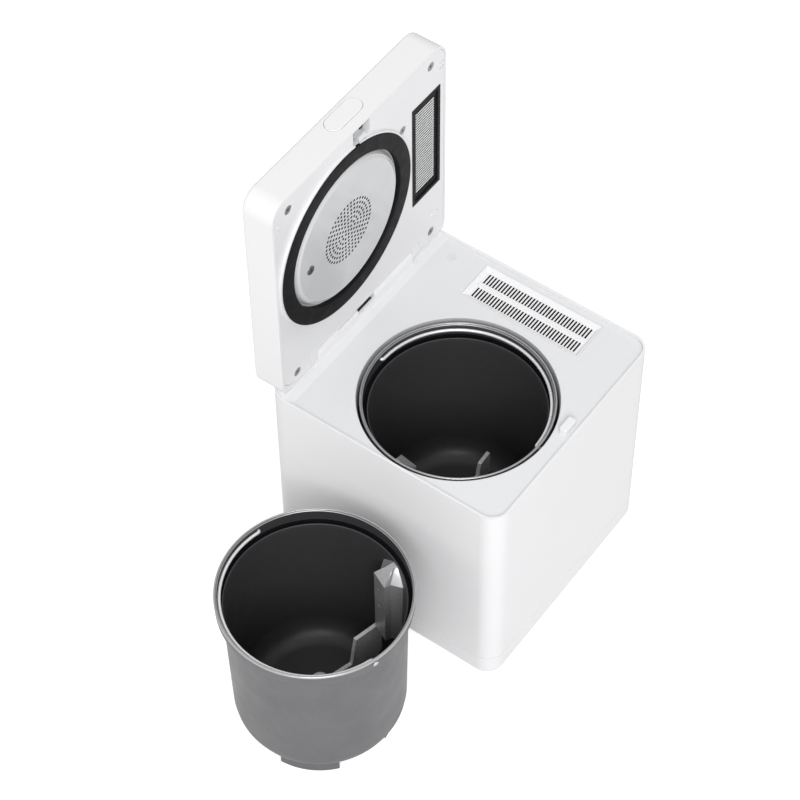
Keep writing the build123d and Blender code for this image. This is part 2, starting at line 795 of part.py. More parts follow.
filter_depth = filter_back - filter_front
filter_y = (filter_front + filter_back) / 2
with BuildPart() as filter_box:
    with BuildSketch(Plane.XY.offset(filter_low)):
        with Locations((filter_x, filter_y)):
            Rectangle(filter_width, filter_depth)
    extrude(amount=filter_high - filter_low)
    with BuildSketch(Plane.XY.offset(filter_low + duct_wall)):
        with Locations((filter_x, filter_y)):
            Rectangle(filter_width - 2 * duct_wall, filter_depth - 2 * duct_wall)
    extrude(amount=filter_high - filter_low - 2 * duct_wall, mode=Mode.SUBTRACT)
    with BuildSketch(Plane.XZ.offset(-filter_front)):
        with Locations((fan_x, fan_bottom + fan_height / 2)):
            Rectangle(fan_outlet, fan_height - 4)
    extrude(amount=-duct_wall, mode=Mode.SUBTRACT)
    with BuildSketch(Plane.XZ.offset(-filter_back)):
        with Locations((exhaust_x, exhaust_z)):
            Rectangle(exhaust_width, exhaust_height)
    extrude(amount=duct_wall, mode=Mode.SUBTRACT)
save(filter_box.part, "filter_box")

cartridge_depth = 110.0
cartridge_y = filter_back - duct_wall - cartridge_depth / 2
with BuildPart() as carbon_filter:
    with BuildSketch(Plane.XY.offset(filter_low + duct_wall)):
        with Locations((filter_x, cartridge_y)):
            RectangleRounded(filter_width - 2 * duct_wall - 1, cartridge_depth, 3)
    extrude(amount=filter_high - filter_low - 2 * duct_wall - 1)
    for y in (cartridge_y - cartridge_depth / 2, cartridge_y + cartridge_depth / 2):
        with BuildSketch(Plane.XZ.offset(-y)):
            with Locations((filter_x, (filter_low + filter_high) / 2)):
                Rectangle(filter_width - 12, filter_high - filter_low - 14)
        extrude(amount=1.5, both=True, mode=Mode.SUBTRACT)
save(carbon_filter.part, "carbon_filter")

louvre_pitch = 6.0
louvre_count = 10
with BuildPart() as rear_grille:
    with BuildSketch(Plane.XZ.offset(-body_depth / 2)):
        with Locations((exhaust_x, exhaust_z)):
            Rectangle(exhaust_width - 2 * seat_gap, exhaust_height - 2 * seat_gap)
    extrude(amount=wall + duct_wall)
    with BuildSketch(Plane.XZ.offset(-body_depth / 2)):
        with Locations((exhaust_x, exhaust_z)):
            with GridLocations(0, louvre_pitch, 1, louvre_count):
                Rectangle(exhaust_width - 8, louvre_pitch / 2)
    extrude(amount=wall + duct_wall, mode=Mode.SUBTRACT)
save(rear_grille.part, "rear_grille")

# ---------------------------------------------------------------- electrics
with BuildPart() as power_inlet:
    with BuildSketch(Plane.XZ.offset(-body_depth / 2)):
        with Locations((inlet_x, inlet_z)):
            RectangleRounded(inlet_width - 0.2, inlet_height - 0.2, 2)
    extrude(amount=22)
    with BuildSketch(Plane.XZ.offset(-body_depth / 2)):
        with Locations((inlet_x, inlet_z)):
            Rectangle(inlet_width - 5, inlet_height - 5)
    extrude(amount=17, mode=Mode.SUBTRACT)
    with BuildSketch(Plane.XZ.offset(-body_depth / 2 + 17)):
        with Locations((inlet_x, inlet_z)):
            with Locations((-7, -2), (0, 2), (7, -2)):
                Rectangle(2, 4)
    extrude(amount=-13)
save(power_inlet.part, "power_inlet")

board_thickness = 1.6
with BuildPart() as control_board:
    with BuildSketch(Plane.XY.offset(board_z)):
        with Locations((board_x, board_y)):
            Rectangle(board_width, board_depth)
    extrude(amount=board_thickness)
    with BuildSketch(Plane.XY.offset(board_z + board_thickness)):
        with Locations((board_x - 50, board_y)):
            Rectangle(34, 28)
        with Locations((board_x + 20, board_y - 14)):
            Rectangle(19, 15)
    extrude(amount=22)
    with BuildSketch(Plane.XY.offset(board_z + board_thickness)):
        with Locations((board_x, board_y + 4)):
            with GridLocations(16, 20, 2, 2):
                Circle(5)
        with Locations((board_x + 50, board_y)):
            Rectangle(30, 36)
    extrude(amount=14)
save(control_board.part, "control_board")

# ---------------------------------------------------------------- lid shell
lid_wall = 2.6
lid_crown = 4.0
lid_margin = 0.3
cavity_front = lid_wall - body_depth / 2
cavity_back = hinge_y - 0.7
cavity_y = (cavity_front + cavity_back) / 2
cavity_depth = cavity_back - cavity_front
cavity_top = lid_top - lid_wall
panel_face = lid_bottom + 0.5
panel_back = panel_face + 2.5
pocket_wall = 2.0
cheek_width = 10.0
notch_width = hump_width + 2 * seat_gap
notch_front = hump_front - 0.5
notch_top = hinge_z + barrel_radius + 1.1
boss_radius = 4.0
screw_hole = 1.6
panel_screws = (
    (-110.5, -119.5),
    (110.5, -119.5),
    (-111.0, 115.5),
    (111.0, 115.5),
    (64.6, -71.8),
)
button_z = lid_bottom + 20.4
button_width = 47.5
button_height = 18.5
button_gap = 0.4
button_proud = 0.8
button_travel = 2.2
flange_margin = 1.7
flange_thickness = 2.1
flange_front = body_depth / 2 - lid_wall - seat_gap
flange_back = flange_front - flange_thickness
flange_low = button_z - button_height / 2 - flange_margin
glass_width = 110.0
glass_depth = 34.0
glass_y = -95.0
glass_thickness = 1.2
spring_z = button_z + 4.0
spring_length = 10.0
spring_wall = 2.5
spring_back = spring_length - flange_back
stem_width = 11.0
guide_wall = 2.0
guide_front = button_travel + seat_gap - flange_back
guide_back = -114.0
latch_room = 40.0

with BuildPart() as lid_shell:
    with BuildSketch(lid_frame.offset(lid_bottom)):
        RectangleRounded(body_width, body_depth, corner_radius)
    extrude(amount=lid_thickness)
    fillet(lid_shell.faces().sort_by(Axis.Y)[-1].edges(), lid_crown)
    with BuildSketch(lid_frame.offset(lid_bottom)):
        with Locations((0, cavity_y)):
            RectangleRounded(inner_width, cavity_depth, inner_radius)
    extrude(amount=lid_thickness - lid_wall, mode=Mode.SUBTRACT)
    with BuildSketch(lid_frame.offset(lid_bottom)):
        with Locations((0, notch_front - pocket_wall)):
            Rectangle(
                notch_width + 2 * cheek_width,
                body_depth / 2 - notch_front + pocket_wall,
                align=(Align.CENTER, Align.MIN),
            )
    extrude(amount=notch_top + pocket_wall - lid_bottom)
    with BuildSketch(lid_frame.offset(panel_back)):
        with Locations(*panel_screws):
            Circle(boss_radius)
        with Locations((0, spring_back)):
            Rectangle(
                stem_width + 2 * (seat_gap + guide_wall),
                spring_wall,
                align=(Align.CENTER, Align.MIN),
            )
        for side in (-1, 1):
            with Locations((side * (stem_width + guide_wall + 2 * seat_gap) / 2, guide_front)):
                Rectangle(
                    guide_wall, guide_back - guide_front, align=(Align.CENTER, Align.MIN)
                )
    extrude(amount=cavity_top - panel_back)
    with BuildSketch(lid_frame.offset(lid_bottom)):
        with Locations((0, cavity_front)):
            Rectangle(latch_room, guide_back - cavity_front, align=(Align.CENTER, Align.MIN))
    extrude(amount=flange_low - seat_gap - lid_bottom, mode=Mode.SUBTRACT)
    with BuildSketch(lid_frame.offset(lid_bottom)):
        with Locations((0, cavity_front)):
            Rectangle(
                stem_width + 2 * seat_gap,
                guide_back - cavity_front,
                align=(Align.CENTER, Align.MIN),
            )
    extrude(amount=button_z - lid_bottom, mode=Mode.SUBTRACT)
    with BuildSketch(lid_side):
        with Locations((hinge_y, hinge_z)):
            Rectangle(hinge_radius + 1, hinge_radius + 1, align=(Align.MIN, Align.MAX))
            Circle(hinge_radius, mode=Mode.SUBTRACT)
    extrude(amount=body_width, both=True, mode=Mode.SUBTRACT)
    with BuildSketch(lid_frame.offset(lid_bottom)):
        with Locations((0, notch_front)):
            Rectangle(notch_width, body_depth, align=(Align.CENTER, Align.MIN))
    extrude(amount=notch_top - lid_bottom, mode=Mode.SUBTRACT)
    for side in (-1, 1):
        with BuildSketch(lid_side.offset(side * notch_width / 2)):
            with Locations((hinge_y, hinge_z)):
                Circle(pin_radius + run_gap)
        extrude(amount=side * (cheek_width - 1.5), mode=Mode.SUBTRACT)
    with BuildSketch(lid_front.offset(body_depth / 2)):
        with Locations((0, button_z)):
            SlotOverall(button_width + 2 * button_gap, button_height + 2 * button_gap)
    extrude(amount=-lid_wall, mode=Mode.SUBTRACT)
    with BuildSketch(lid_frame.offset(panel_back)):
        with Locations(*panel_screws):
            Circle(screw_hole)
    extrude(amount=12, mode=Mode.SUBTRACT)
    with BuildSketch(lid_frame.offset(lid_top)):
        with Locations((0, glass_y)):
            RectangleRounded(glass_width, glass_depth, 10)
    extrude(amount=-glass_thickness, mode=Mode.SUBTRACT)
save(lid_shell.part, "lid_shell")

with BuildPart() as touch_panel:
    with BuildSketch(lid_frame.offset(lid_top)):
        with Locations((0, glass_y)):
            RectangleRounded(glass_width - 0.2, glass_depth - 0.2, 9.9)
    extrude(amount=-glass_thickness)
save(touch_panel.part, "touch_panel")

with BuildPart() as lid_board:
    with BuildSketch(lid_frame.offset(cavity_top)):
        with Locations((0, glass_y)):
            Rectangle(100, 28)
    extrude(amount=-board_thickness)
    with BuildSketch(lid_frame.offset(cavity_top - board_thickness)):
        with Locations((-25, glass_y)):
            Rectangle(12, 12)
        with Locations((20, glass_y)):
            with GridLocations(14, 0, 3, 1):
                Rectangle(8, 6)
    extrude(amount=-2)
save(lid_board.part, "lid_board")

# ---------------------------------------------------------------- lid inner panel
seal_x = bucket_x + 2.5
seal_y = bucket_y + 0.6
gasket_outer = 101.0
gasket_inner = 83.6
gasket_face = deck_top + seat_gap
gasket_floor = panel_face - 0.8
collar_radius = gasket_outer + 1.8
collar_face = panel_face - 2.7
disc_hole = gasket_inner + 1.7
window_x = vent_x + 0.6
window_y = vent_y - 2.2
window_width = 46.0
window_depth = 135.6
pocket_width = 25.7
pocket_x = 0.8
pocket_front = cavity_front + lid_margin
pocket_back = -116.1
pocket_top = flange_low - 2 * seat_gap
pocket_skin = 1.6
head_radius = 4.8
head_recess = 1.4
tab_y = -107.0
tab_length = 7.4
tab_height = 1.7
tab_pitch = 7.0
tab_proud = 1.0
magnet_x = 116.5
magnet_y = 94.0
disc_screw = (seal_x - 59.9, seal_y + 0.9)

with BuildPart() as lid_inner_panel:
    with BuildSketch(lid_frame.offset(panel_face)):
        with Locations((0, cavity_y)):
            RectangleRounded(
                inner_width - 2 * lid_margin, cavity_depth - 2 * lid_margin, inner_radius
            )
        with Locations((0, notch_front - pocket_wall - lid_margin)):
            Rectangle(
                notch_width + 2 * (cheek_width + lid_margin),
                body_depth,
                align=(Align.CENTER, Align.MIN),
                mode=Mode.SUBTRACT,
            )
    extrude(amount=panel_back - panel_face)
    with BuildSketch(lid_frame.offset(collar_face)):
        with Locations((seal_x, seal_y)):
            Circle(collar_radius)
        Rectangle(inner_width - 4 * lid_margin, body_depth, mode=Mode.INTERSECT)
    extrude(amount=panel_face - collar_face)
    with BuildSketch(lid_frame.offset(collar_face)):
        with Locations((seal_x, seal_y)):
            Circle(gasket_outer + 0.1)
    extrude(amount=gasket_floor - collar_face, mode=Mode.SUBTRACT)
    with BuildSketch(lid_frame.offset(panel_back)):
        with Locations((pocket_x, pocket_front)):
            Rectangle(
                pocket_width + 2 * pocket_skin,
                pocket_back + pocket_skin - pocket_front,
                align=(Align.CENTER, Align.MIN),
            )
    extrude(amount=pocket_top - panel_back)
    with BuildSketch(lid_frame.offset(collar_face)):
        with Locations((seal_x, seal_y)):
            Circle(disc_hole)
        with Locations((window_x, window_y)):
            Rectangle(window_width, window_depth)
        with Locations((pocket_x, pocket_front)):
            Rectangle(
                pocket_width, pocket_back - pocket_front, align=(Align.CENTER, Align.MIN)
            )
        with Locations(*panel_screws):
            Circle(screw_hole)
    extrude(amount=pocket_top - collar_face, mode=Mode.SUBTRACT)
    with BuildSketch(lid_frame.offset(panel_face)):
        with Locations(*panel_screws):
            Circle(head_radius + 0.2)
    extrude(amount=head_recess, mode=Mode.SUBTRACT)
    for side in (-1, 1):
        tab_x = side * (inner_width / 2 - lid_margin - tab_length / 2)
        with BuildSketch(lid_frame.offset(panel_face)):
            with Locations((tab_x, tab_y)):
                with GridLocations(0, tab_pitch, 1, 2):
                    Rectangle(tab_length, tab_height)
        extrude(amount=-tab_proud)
        with BuildSketch(lid_frame.offset(panel_face)):
            with Locations((tab_x, tab_y - tab_height)):
                with GridLocations(0, tab_pitch, 1, 2):
                    Rectangle(tab_length, tab_height)
        extrude(amount=tab_proud, mode=Mode.SUBTRACT)
    with BuildSketch(lid_frame.offset(panel_face)):
        with Locations((magnet_x, magnet_y)):
            RectangleRounded(10, 6, 1.5)
    extrude(amount=-1.5)
    with BuildSketch(lid_frame.offset(panel_back)):
        with Locations((magnet_x, magnet_y)):
            RectangleRounded(7, 4, 1)
    extrude(amount=-2.2, mode=Mode.SUBTRACT)
save(lid_inner_panel.part, "lid_inner_panel")

with BuildPart() as sensor_magnet:
    with BuildSketch(lid_frame.offset(panel_back)):
        with Locations((magnet_x, magnet_y)):
            RectangleRounded(6.8, 3.8, 0.9)
    extrude(amount=-2.2)
save(sensor_magnet.part, "sensor_magnet")

disc_plane = Plane(
    origin=(seal_x, lid_origin[1], lid_origin[2] - seal_y), x_dir=(1, 0, 0), z_dir=(0, 0, 1)
)
disc_axis = Axis((seal_x, 0, lid_origin[2] - seal_y), (0, 1, 0))
with BuildPart() as lid_gasket:
    with BuildSketch(disc_plane):
        with BuildLine():
            Polyline(
                (gasket_inner, gasket_face + 0.8),
                (gasket_inner + 0.8, gasket_face),
                (gasket_outer - 0.8, gasket_face),
                (gasket_outer, gasket_face + 0.8),
                (gasket_outer, gasket_floor),
                (disc_hole - 0.1, gasket_floor),
                (disc_hole - 0.1, panel_back),
                (gasket_inner, panel_back),
                close=True,
            )
        make_face()
    revolve(axis=disc_axis)
save(lid_gasket.part, "lid_gasket")

disc_face = deck_top + seat_gap
disc_radius = 75.3
disc_rim = gasket_inner - 1.7
disc_flange = disc_hole + 1.5
disc_thickness = 1.6
spray_rings = 7
spray_pitch = 4.92
spray_hole = 2.0
with BuildPart() as steam_plate:
    with BuildSketch(disc_plane):
        with BuildLine():
            Polyline(
                (0, disc_face),
                (disc_radius, disc_face),
                (disc_rim, panel_back),
                (disc_flange, panel_back),
                (disc_flange, panel_back + disc_thickness),
                (disc_rim - 1, panel_back + disc_thickness),
                (disc_radius - 1, disc_face + disc_thickness),
                (0, disc_face + disc_thickness),
                close=True,
            )
        make_face()
    revolve(axis=disc_axis)
    with BuildSketch(lid_frame.offset(disc_face)):
        with Locations((seal_x, seal_y)):
            Rectangle(spray_hole, spray_hole)
        for ring in range(1, spray_rings + 1):
            with Locations((seal_x, seal_y)):
                with PolarLocations(ring * spray_pitch, 6 * ring):
                    Rectangle(spray_hole, spray_hole)
        with Locations(disc_screw):
            Circle(screw_hole)
    extrude(amount=disc_thickness, mode=Mode.SUBTRACT)
save(steam_plate.part, "steam_plate")

window_face = panel_face - 0.4
window_step = 4.0
window_step_height = 1.8
grille_width = 30.4
grille_depth = 113.4
with BuildPart() as window_gasket:
    with BuildSketch(lid_frame.offset(window_face)):
        with Locations((window_x, window_y)):
            Rectangle(window_width - 0.2, window_depth - 0.2)
            Rectangle(
                window_width - 2 * window_step, window_depth - 2 * window_step, mode=Mode.SUBTRACT
            )
    extrude(amount=panel_back - window_face)
    with BuildSketch(lid_frame.offset(window_face + window_step_height)):
        with Locations((window_x, window_y)):
            Rectangle(window_width - window_step, window_depth - window_step)
            Rectangle(grille_width, grille_depth, mode=Mode.SUBTRACT)
    extrude(amount=panel_back - window_face - window_step_height)
save(window_gasket.part, "window_gasket")

grille_pitch = 3.6
grille_thickness = 1.0
grille_slots = 30
with BuildPart() as window_grille:
    with BuildSketch(lid_frame.offset(panel_back)):
        with Locations((window_x, window_y)):
            Rectangle(grille_width + 8, grille_depth + 8)
    extrude(amount=grille_thickness)
    with BuildSketch(lid_frame.offset(panel_back - grille_thickness)):
        with Locations((window_x, window_y)):
            Rectangle(grille_width - 0.2, grille_depth - 0.2)
    extrude(amount=grille_thickness)
    with BuildSketch(lid_frame.offset(panel_back - grille_thickness)):
        with Locations((window_x, window_y)):
            with GridLocations(0, grille_pitch, 1, grille_slots):
                Rectangle(grille_width - 3, grille_pitch / 2)
    extrude(amount=2 * grille_thickness, mode=Mode.SUBTRACT)
save(window_grille.part, "window_grille")

# ---------------------------------------------------------------- lid duct
duct_top = lid_top - 13.0
duct_inner = disc_flange + seat_gap
link_low = -60.0
link_high = 40.0
disc_boss = 4.0


def duct_outline(grow):
    """Plan of the lid duct: steam disc, window and the link between them, grown outwards."""
    with Locations((seal_x, seal_y)):
        Circle(duct_inner + grow)
    with Locations(((seal_x + window_x) / 2, (link_low + link_high) / 2)):
        Rectangle(window_x - seal_x, link_high - link_low + 2 * grow)
    with Locations((window_x, window_y)):
        Rectangle(window_width - 6 + 2 * grow, window_depth - 6 + 2 * grow)


with BuildPart() as lid_duct:
    with BuildSketch(lid_frame.offset(panel_back)):
        duct_outline(duct_wall)
    extrude(amount=duct_top - panel_back)
    with BuildSketch(lid_frame.offset(panel_back)):
        duct_outline(0)
    extrude(amount=duct_top - duct_wall - panel_back, mode=Mode.SUBTRACT)
    with BuildSketch(lid_frame.offset(disc_face + disc_thickness)):
        with Locations(disc_screw):
            Circle(disc_boss)
            Circle(screw_hole, mode=Mode.SUBTRACT)
    extrude(amount=duct_top - disc_face - disc_thickness)
save(lid_duct.part, "lid_duct")

with BuildPart() as lid_screws:
    for places, head_z in ((panel_screws, panel_face + head_recess), ((disc_screw,), disc_face)):
        with BuildSketch(lid_frame.offset(head_z)):
            with Locations(*places):
                Circle(head_radius)
        extrude(amount=-head_recess + 0.2)
        with BuildSketch(lid_frame.offset(head_z - head_recess + 0.2)):
            with Locations(*places):
                Circle(screw_hole)
        extrude(amount=12)
        with BuildSketch(lid_frame.offset(head_z - head_recess + 0.2)):
            with Locations(*places):
                Rectangle(4, 0.9)
                Rectangle(0.9, 4)
        extrude(amount=0.8, mode=Mode.SUBTRACT)
save(lid_screws.part, "lid_screws")

# ---------------------------------------------------------------- release button and latch
hook_top = button_z - 1.8
hook_stem_z = hook_top - 4.4
hook_foot = deck_top + 1.5
hook_nose_height = 3.0
hook_reach = 2.2
blade_thickness = 2.2
blade_clear = math.sqrt((gasket_outer + seat_gap) ** 2 - (seal_x + stem_width / 2) ** 2)
blade_back = blade_clear - seal_y + button_travel
blade_front = blade_back + blade_thickness
hook_nose = blade_front + hook_reach

with BuildPart() as release_button:
    with BuildSketch(lid_front.offset(body_depth / 2 + button_proud)):
        with Locations((0, button_z)):
            SlotOverall(button_width, button_height)
    extrude(amount=flange_back - body_depth / 2 - button_proud)
    fillet(release_button.faces().sort_by(Axis.Z)[-1].edges(), 0.6)
    with BuildSketch(lid_front.offset(flange_front)):
        with Locations((0, button_z)):
            SlotOverall(button_width + 2 * flange_margin, button_height + 2 * flange_margin)
    extrude(amount=-flange_thickness)
save(release_button.part, "release_button")

with BuildPart() as latch_hook:
    with BuildSketch(lid_side):
        with BuildLine():
            Polyline(
                (-flange_back, hook_top),
                (-blade_back, hook_top),
                (-blade_back, hook_foot),
                (-hook_nose, hook_foot + 1),
                (-hook_nose, hook_foot + hook_nose_height),
                (-blade_front, hook_foot + hook_nose_height),
                (-blade_front, hook_stem_z),
                (-flange_back, hook_stem_z),
                close=True,
            )
        make_face()
    extrude(amount=stem_width / 2, both=True)
save(latch_hook.part, "latch_hook")

spring_radius = 2.6
spring_wire = 0.45
spring_low = lid_origin[2] - spring_back
coil_length = spring_length - 2 * spring_wire
spring_y = lid_origin[1] + spring_z
with BuildPart() as latch_spring:
    with BuildLine():
        Helix(
            pitch=coil_length / 4,
            height=coil_length,
            radius=spring_radius,
            center=(0, spring_y, spring_low + spring_wire),
        )
    with BuildSketch(
        Plane(origin=(spring_radius, spring_y, spring_low + spring_wire), z_dir=(0, 1, 0))
    ):
        Circle(spring_wire)
    sweep()
save(latch_spring.part, "latch_spring")

# ---------------------------------------------------------------- buckets
# Each bucket is drawn about its own axis with its feet on Z = 0, then set in its place.
pot_radius = 86.6
pot_shoulder_radius = 89.6
pot_round = 27.0
pot_wall = 1.8
pot_bottom = 12.5
collar_outer = lip_radius - 0.4
collar_inner = lip_radius - 3.3
collar_drop = 12.5
cone_drop = 21.5
ledge_drop = 17.0
ledge_radius = 88.3
ledge_outer = 91.8
lip_height = 2.0
lug_outer = 76.0
lug_thickness = 3.0
lug_angle = 46.0
lug_embed = 7.5
bush_radius = 10.0
hub_shaft_radius = 7.5
pivot_drop = 6.5
pivot_radius = 3.0
wire_radius = 1.7
wire_arc = collar_inner - wire_radius - seat_gap
rim_z = bucket_height
shoulder_z = rim_z - cone_drop
ledge_z = rim_z - ledge_drop
pivot_z = rim_z - pivot_drop
bottom_round_z = pot_bottom + pot_round


def upright(angle):
    """Standing plane through the Z axis, local X pointing outwards at this angle."""
    turn = math.radians(angle)
    return Plane(
        origin=(0, 0, 0),
        x_dir=(math.cos(turn), math.sin(turn), 0),
        z_dir=(math.sin(turn), -math.cos(turn), 0),
    )


inner_round = pot_round - pot_wall
inner_foot = pot_radius - pot_round
inner_floor = pot_bottom + pot_wall
with BuildPart() as pot_space:
    with BuildSketch(Plane.XZ):
        with BuildLine():
            Line((0, inner_floor), (inner_foot, inner_floor))
            RadiusArc(
                (inner_foot, inner_floor), (pot_radius - pot_wall, bottom_round_z), -inner_round
            )
            Polyline(
                (pot_radius - pot_wall, bottom_round_z),
                (pot_shoulder_radius - pot_wall, shoulder_z),
                (ledge_radius, ledge_z),
                (ledge_outer, ledge_z),
                (collar_inner, ledge_z + collar_inner - ledge_outer),
                (collar_inner, rim_z),
                (0, rim_z),
                (0, inner_floor),
            )
        make_face()
    revolve(axis=Axis.Z)

with BuildPart() as bucket_pot:
    for angle in (45, 135, 225, 315):
        with BuildSketch(upright(angle - lug_angle / 2)):
            with Locations((lug_outer, 0)):
                Rectangle(lug_thickness, pot_bottom + lug_embed, align=(Align.MAX, Align.MIN))
        revolve(axis=Axis.Z, revolution_arc=lug_angle)
    with BuildSketch(Plane.XZ):
        with BuildLine():
            Line((0, pot_bottom), (inner_foot, pot_bottom))
            RadiusArc((inner_foot, pot_bottom), (pot_radius, bottom_round_z), -pot_round)
            Polyline(
                (pot_radius, bottom_round_z),
                (pot_shoulder_radius, shoulder_z),
                (collar_outer, rim_z - collar_drop),
                (collar_outer, rim_z - lip_height - 0.4),
                (lip_radius, rim_z - lip_height),
                (lip_radius, rim_z - 0.6),
                (lip_radius - 0.6, rim_z),
                (0, rim_z),
                (0, pot_bottom),
            )
        make_face()
    revolve(axis=Axis.Z)
    add(pot_space.part, mode=Mode.SUBTRACT)
    with BuildSketch():
        Circle(bush_radius)
    extrude(amount=bottom_round_z, mode=Mode.SUBTRACT)
    with BuildSketch(Plane.XZ):
        with Locations((0, pivot_z)):
            Circle(pivot_radius)
    extrude(amount=lip_radius + 1, both=True, mode=Mode.SUBTRACT)

with BuildPart() as bucket_bushing:
    with BuildSketch(Plane.XY.offset(pot_bottom - 4)):
        Circle(bush_radius)
    extrude(amount=4 + pot_wall)
    with BuildSketch(Plane.XY.offset(pot_bottom + pot_wall)):
        Circle(bush_radius + 4)
    extrude(amount=1.5)
    with BuildSketch(Plane.XY.offset(pot_bottom - 4)):
        Circle(hub_shaft_radius + run_gap)
    extrude(amount=bottom_round_z, mode=Mode.SUBTRACT)

breaker_angle = 172.0
breaker_face = 69.5
breaker_width = 21.0
breaker_side = 7.0
breaker_low = 82.0
breaker_shoulder = 177.0
breaker_high = 191.0
breaker_ridge = 3.0
breaker_screw_z = (133.0, 161.0)
breaker_screw_radius = 2.8
breaker_screw_shank = 1.4
breaker_screw_depth = 1.6
breaker_screw_length = 12.0


def breaker_place(height, radius):
    """Upright plane facing outwards from this radius on the breaker block's centre line."""
    turn = math.radians(breaker_angle)
    outwards = (math.cos(turn), math.sin(turn), 0)
    return Plane(
        origin=(radius * outwards[0], radius * outwards[1], height),
        x_dir=(-outwards[1], outwards[0], 0),
        z_dir=outwards,
    )


breaker_root = breaker_width / 2 + pot_shoulder_radius - breaker_face - breaker_side
breaker_outline = [
    (breaker_face, -breaker_width / 2),
    (breaker_face + breaker_side, -breaker_width / 2),
    (pot_shoulder_radius, -breaker_root),
    (pot_shoulder_radius, breaker_root),
    (breaker_face + breaker_side, breaker_width / 2),
    (breaker_face, breaker_width / 2),
]
with BuildPart() as breaker_block:
    with BuildSketch(Plane.XY.offset(breaker_low).rotated((0, 0, breaker_angle))):
        with BuildLine():
            Polyline(*breaker_outline, close=True)
        make_face()
    extrude(amount=breaker_shoulder - breaker_low)
    with BuildSketch(Plane.XY.offset(breaker_shoulder).rotated((0, 0, breaker_angle))):
        with BuildLine():
            Polyline(*breaker_outline, close=True)
        make_face()
    with BuildSketch(Plane.XY.offset(breaker_high).rotated((0, 0, breaker_angle))):
        with BuildLine():
            Polyline(
                *[
                    (pot_shoulder_radius - breaker_ridge * (2 - x), breaker_ridge * y)
                    for x, y in ((0, -1), (1, -1), (2, -1), (2, 1), (1, 1), (0, 1))
                ],
                close=True,
            )
        make_face()
    loft()
    add(pot_space.part, mode=Mode.INTERSECT)
    for height in breaker_screw_z:
        with BuildSketch(breaker_place(height, breaker_face)):
            Circle(breaker_screw_radius)
        extrude(amount=breaker_screw_depth, mode=Mode.SUBTRACT)
        with BuildSketch(breaker_place(height, breaker_face)):
            Circle(breaker_screw_shank)
        extrude(amount=breaker_screw_length, mode=Mode.SUBTRACT)

with BuildPart() as breaker_screws:
    for height in breaker_screw_z:
        with BuildSketch(breaker_place(height, breaker_face + seat_gap)):
            Circle(breaker_screw_radius - 0.1)
        extrude(amount=breaker_screw_depth - seat_gap)
        with BuildSketch(breaker_place(height, breaker_face + breaker_screw_depth)):
            Circle(breaker_screw_shank)
        extrude(amount=breaker_screw_length - breaker_screw_depth)

pivot_inner = collar_inner
pivot_outer = lip_radius + 0.7
with BuildPart() as handle_pivots:
    for side in (-1, 1):
        with BuildSketch(Plane.XZ.offset(-side * pivot_inner)):
            with Locations((0, pivot_z)):
                Circle(pivot_radius)
                Circle(wire_radius + run_gap, mode=Mode.SUBTRACT)
        extrude(amount=-side * (pivot_outer - pivot_inner))

with BuildPart() as bucket_handle:
    with BuildSketch(upright(-90)):
        with Locations((wire_arc, pivot_z)):
            Circle(wire_radius)
    revolve(axis=Axis.Z, revolution_arc=180)
    for side in (-1, 1):
        with BuildSketch(Plane.XZ.offset(-side * (wire_arc - wire_radius))):
            with Locations((0, pivot_z)):
                Circle(wire_radius)
        extrude(amount=-side * (pivot_outer - 0.3 - wire_arc + wire_radius))

# ---------------------------------------------------------------- stirrer
stirrer_low = 1.0
hub_low = pot_bottom + pot_wall + 1.5 + seat_gap
hub_radius = 15.0
hub_height = 34.0
coupler_gap = 0.2
sweep_angle = 183.0
sweep_reach = 79.0
sweep_top = 77.0
sweep_width = 4.0
scraper_angle = 3.0
scraper_reach = 62.0
scraper_top = 52.0
arm_low = hub_low + 1.5

with BuildPart() as stirrer:
    with BuildSketch(Plane.XY.offset(stirrer_low)):
        Circle(hub_shaft_radius)
    extrude(amount=hub_low - stirrer_low)
    with BuildSketch(Plane.XY.offset(hub_low)):
        Circle(hub_radius)
    extrude(amount=hub_height, taper=10)
    with BuildSketch(upright(sweep_angle)):
        with BuildLine():
            Polyline(
                (0, arm_low),
                (60, arm_low),
                (71, arm_low + 2.5),
                (sweep_reach, arm_low + 11),
                (sweep_reach, sweep_top),
                (46, sweep_top),
                (40, hub_low + 22),
                (0, hub_low + 26),
                close=True,
            )
        make_face()
    extrude(amount=sweep_width / 2, both=True)
    with BuildSketch(upright(scraper_angle)):
        with BuildLine():
            Polyline(
                (0, arm_low),
                (scraper_reach - 4, arm_low),
                (scraper_reach, arm_low + 4),
                (scraper_reach, scraper_top),
                (scraper_reach - 18, scraper_top),
                (scraper_reach - 22, hub_low + 18),
                (0, hub_low + 22),
                close=True,
            )
        make_face()
    extrude(amount=sweep_width / 2, both=True)
    with BuildSketch(Plane.XY.offset(stirrer_low)):
        Rectangle(coupler_flats + 2 * coupler_gap, coupler_flats + 2 * coupler_gap)
    extrude(amount=coupler_height + 2, mode=Mode.SUBTRACT)

machine_place = Location((bucket_x, bucket_y, bucket_seat))
spare_place = Location((spare_x, spare_y, 0), (0, 0, spare_turn))
for piece, name in (
    (bucket_pot, "pot"),
    (bucket_bushing, "bushing"),
    (breaker_block, "breaker_block"),
    (breaker_screws, "breaker_screws"),
    (handle_pivots, "handle_pivots"),
    (bucket_handle, "handle"),
    (stirrer, "stirrer"),
):
    save(piece.part.moved(machine_place), f"bucket_{name}")
    save(piece.part.moved(spare_place), f"spare_{name}")
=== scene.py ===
import math

import bmesh
import bpy
from mathutils import Matrix, Vector
from mathutils.geometry import delaunay_2d_cdt


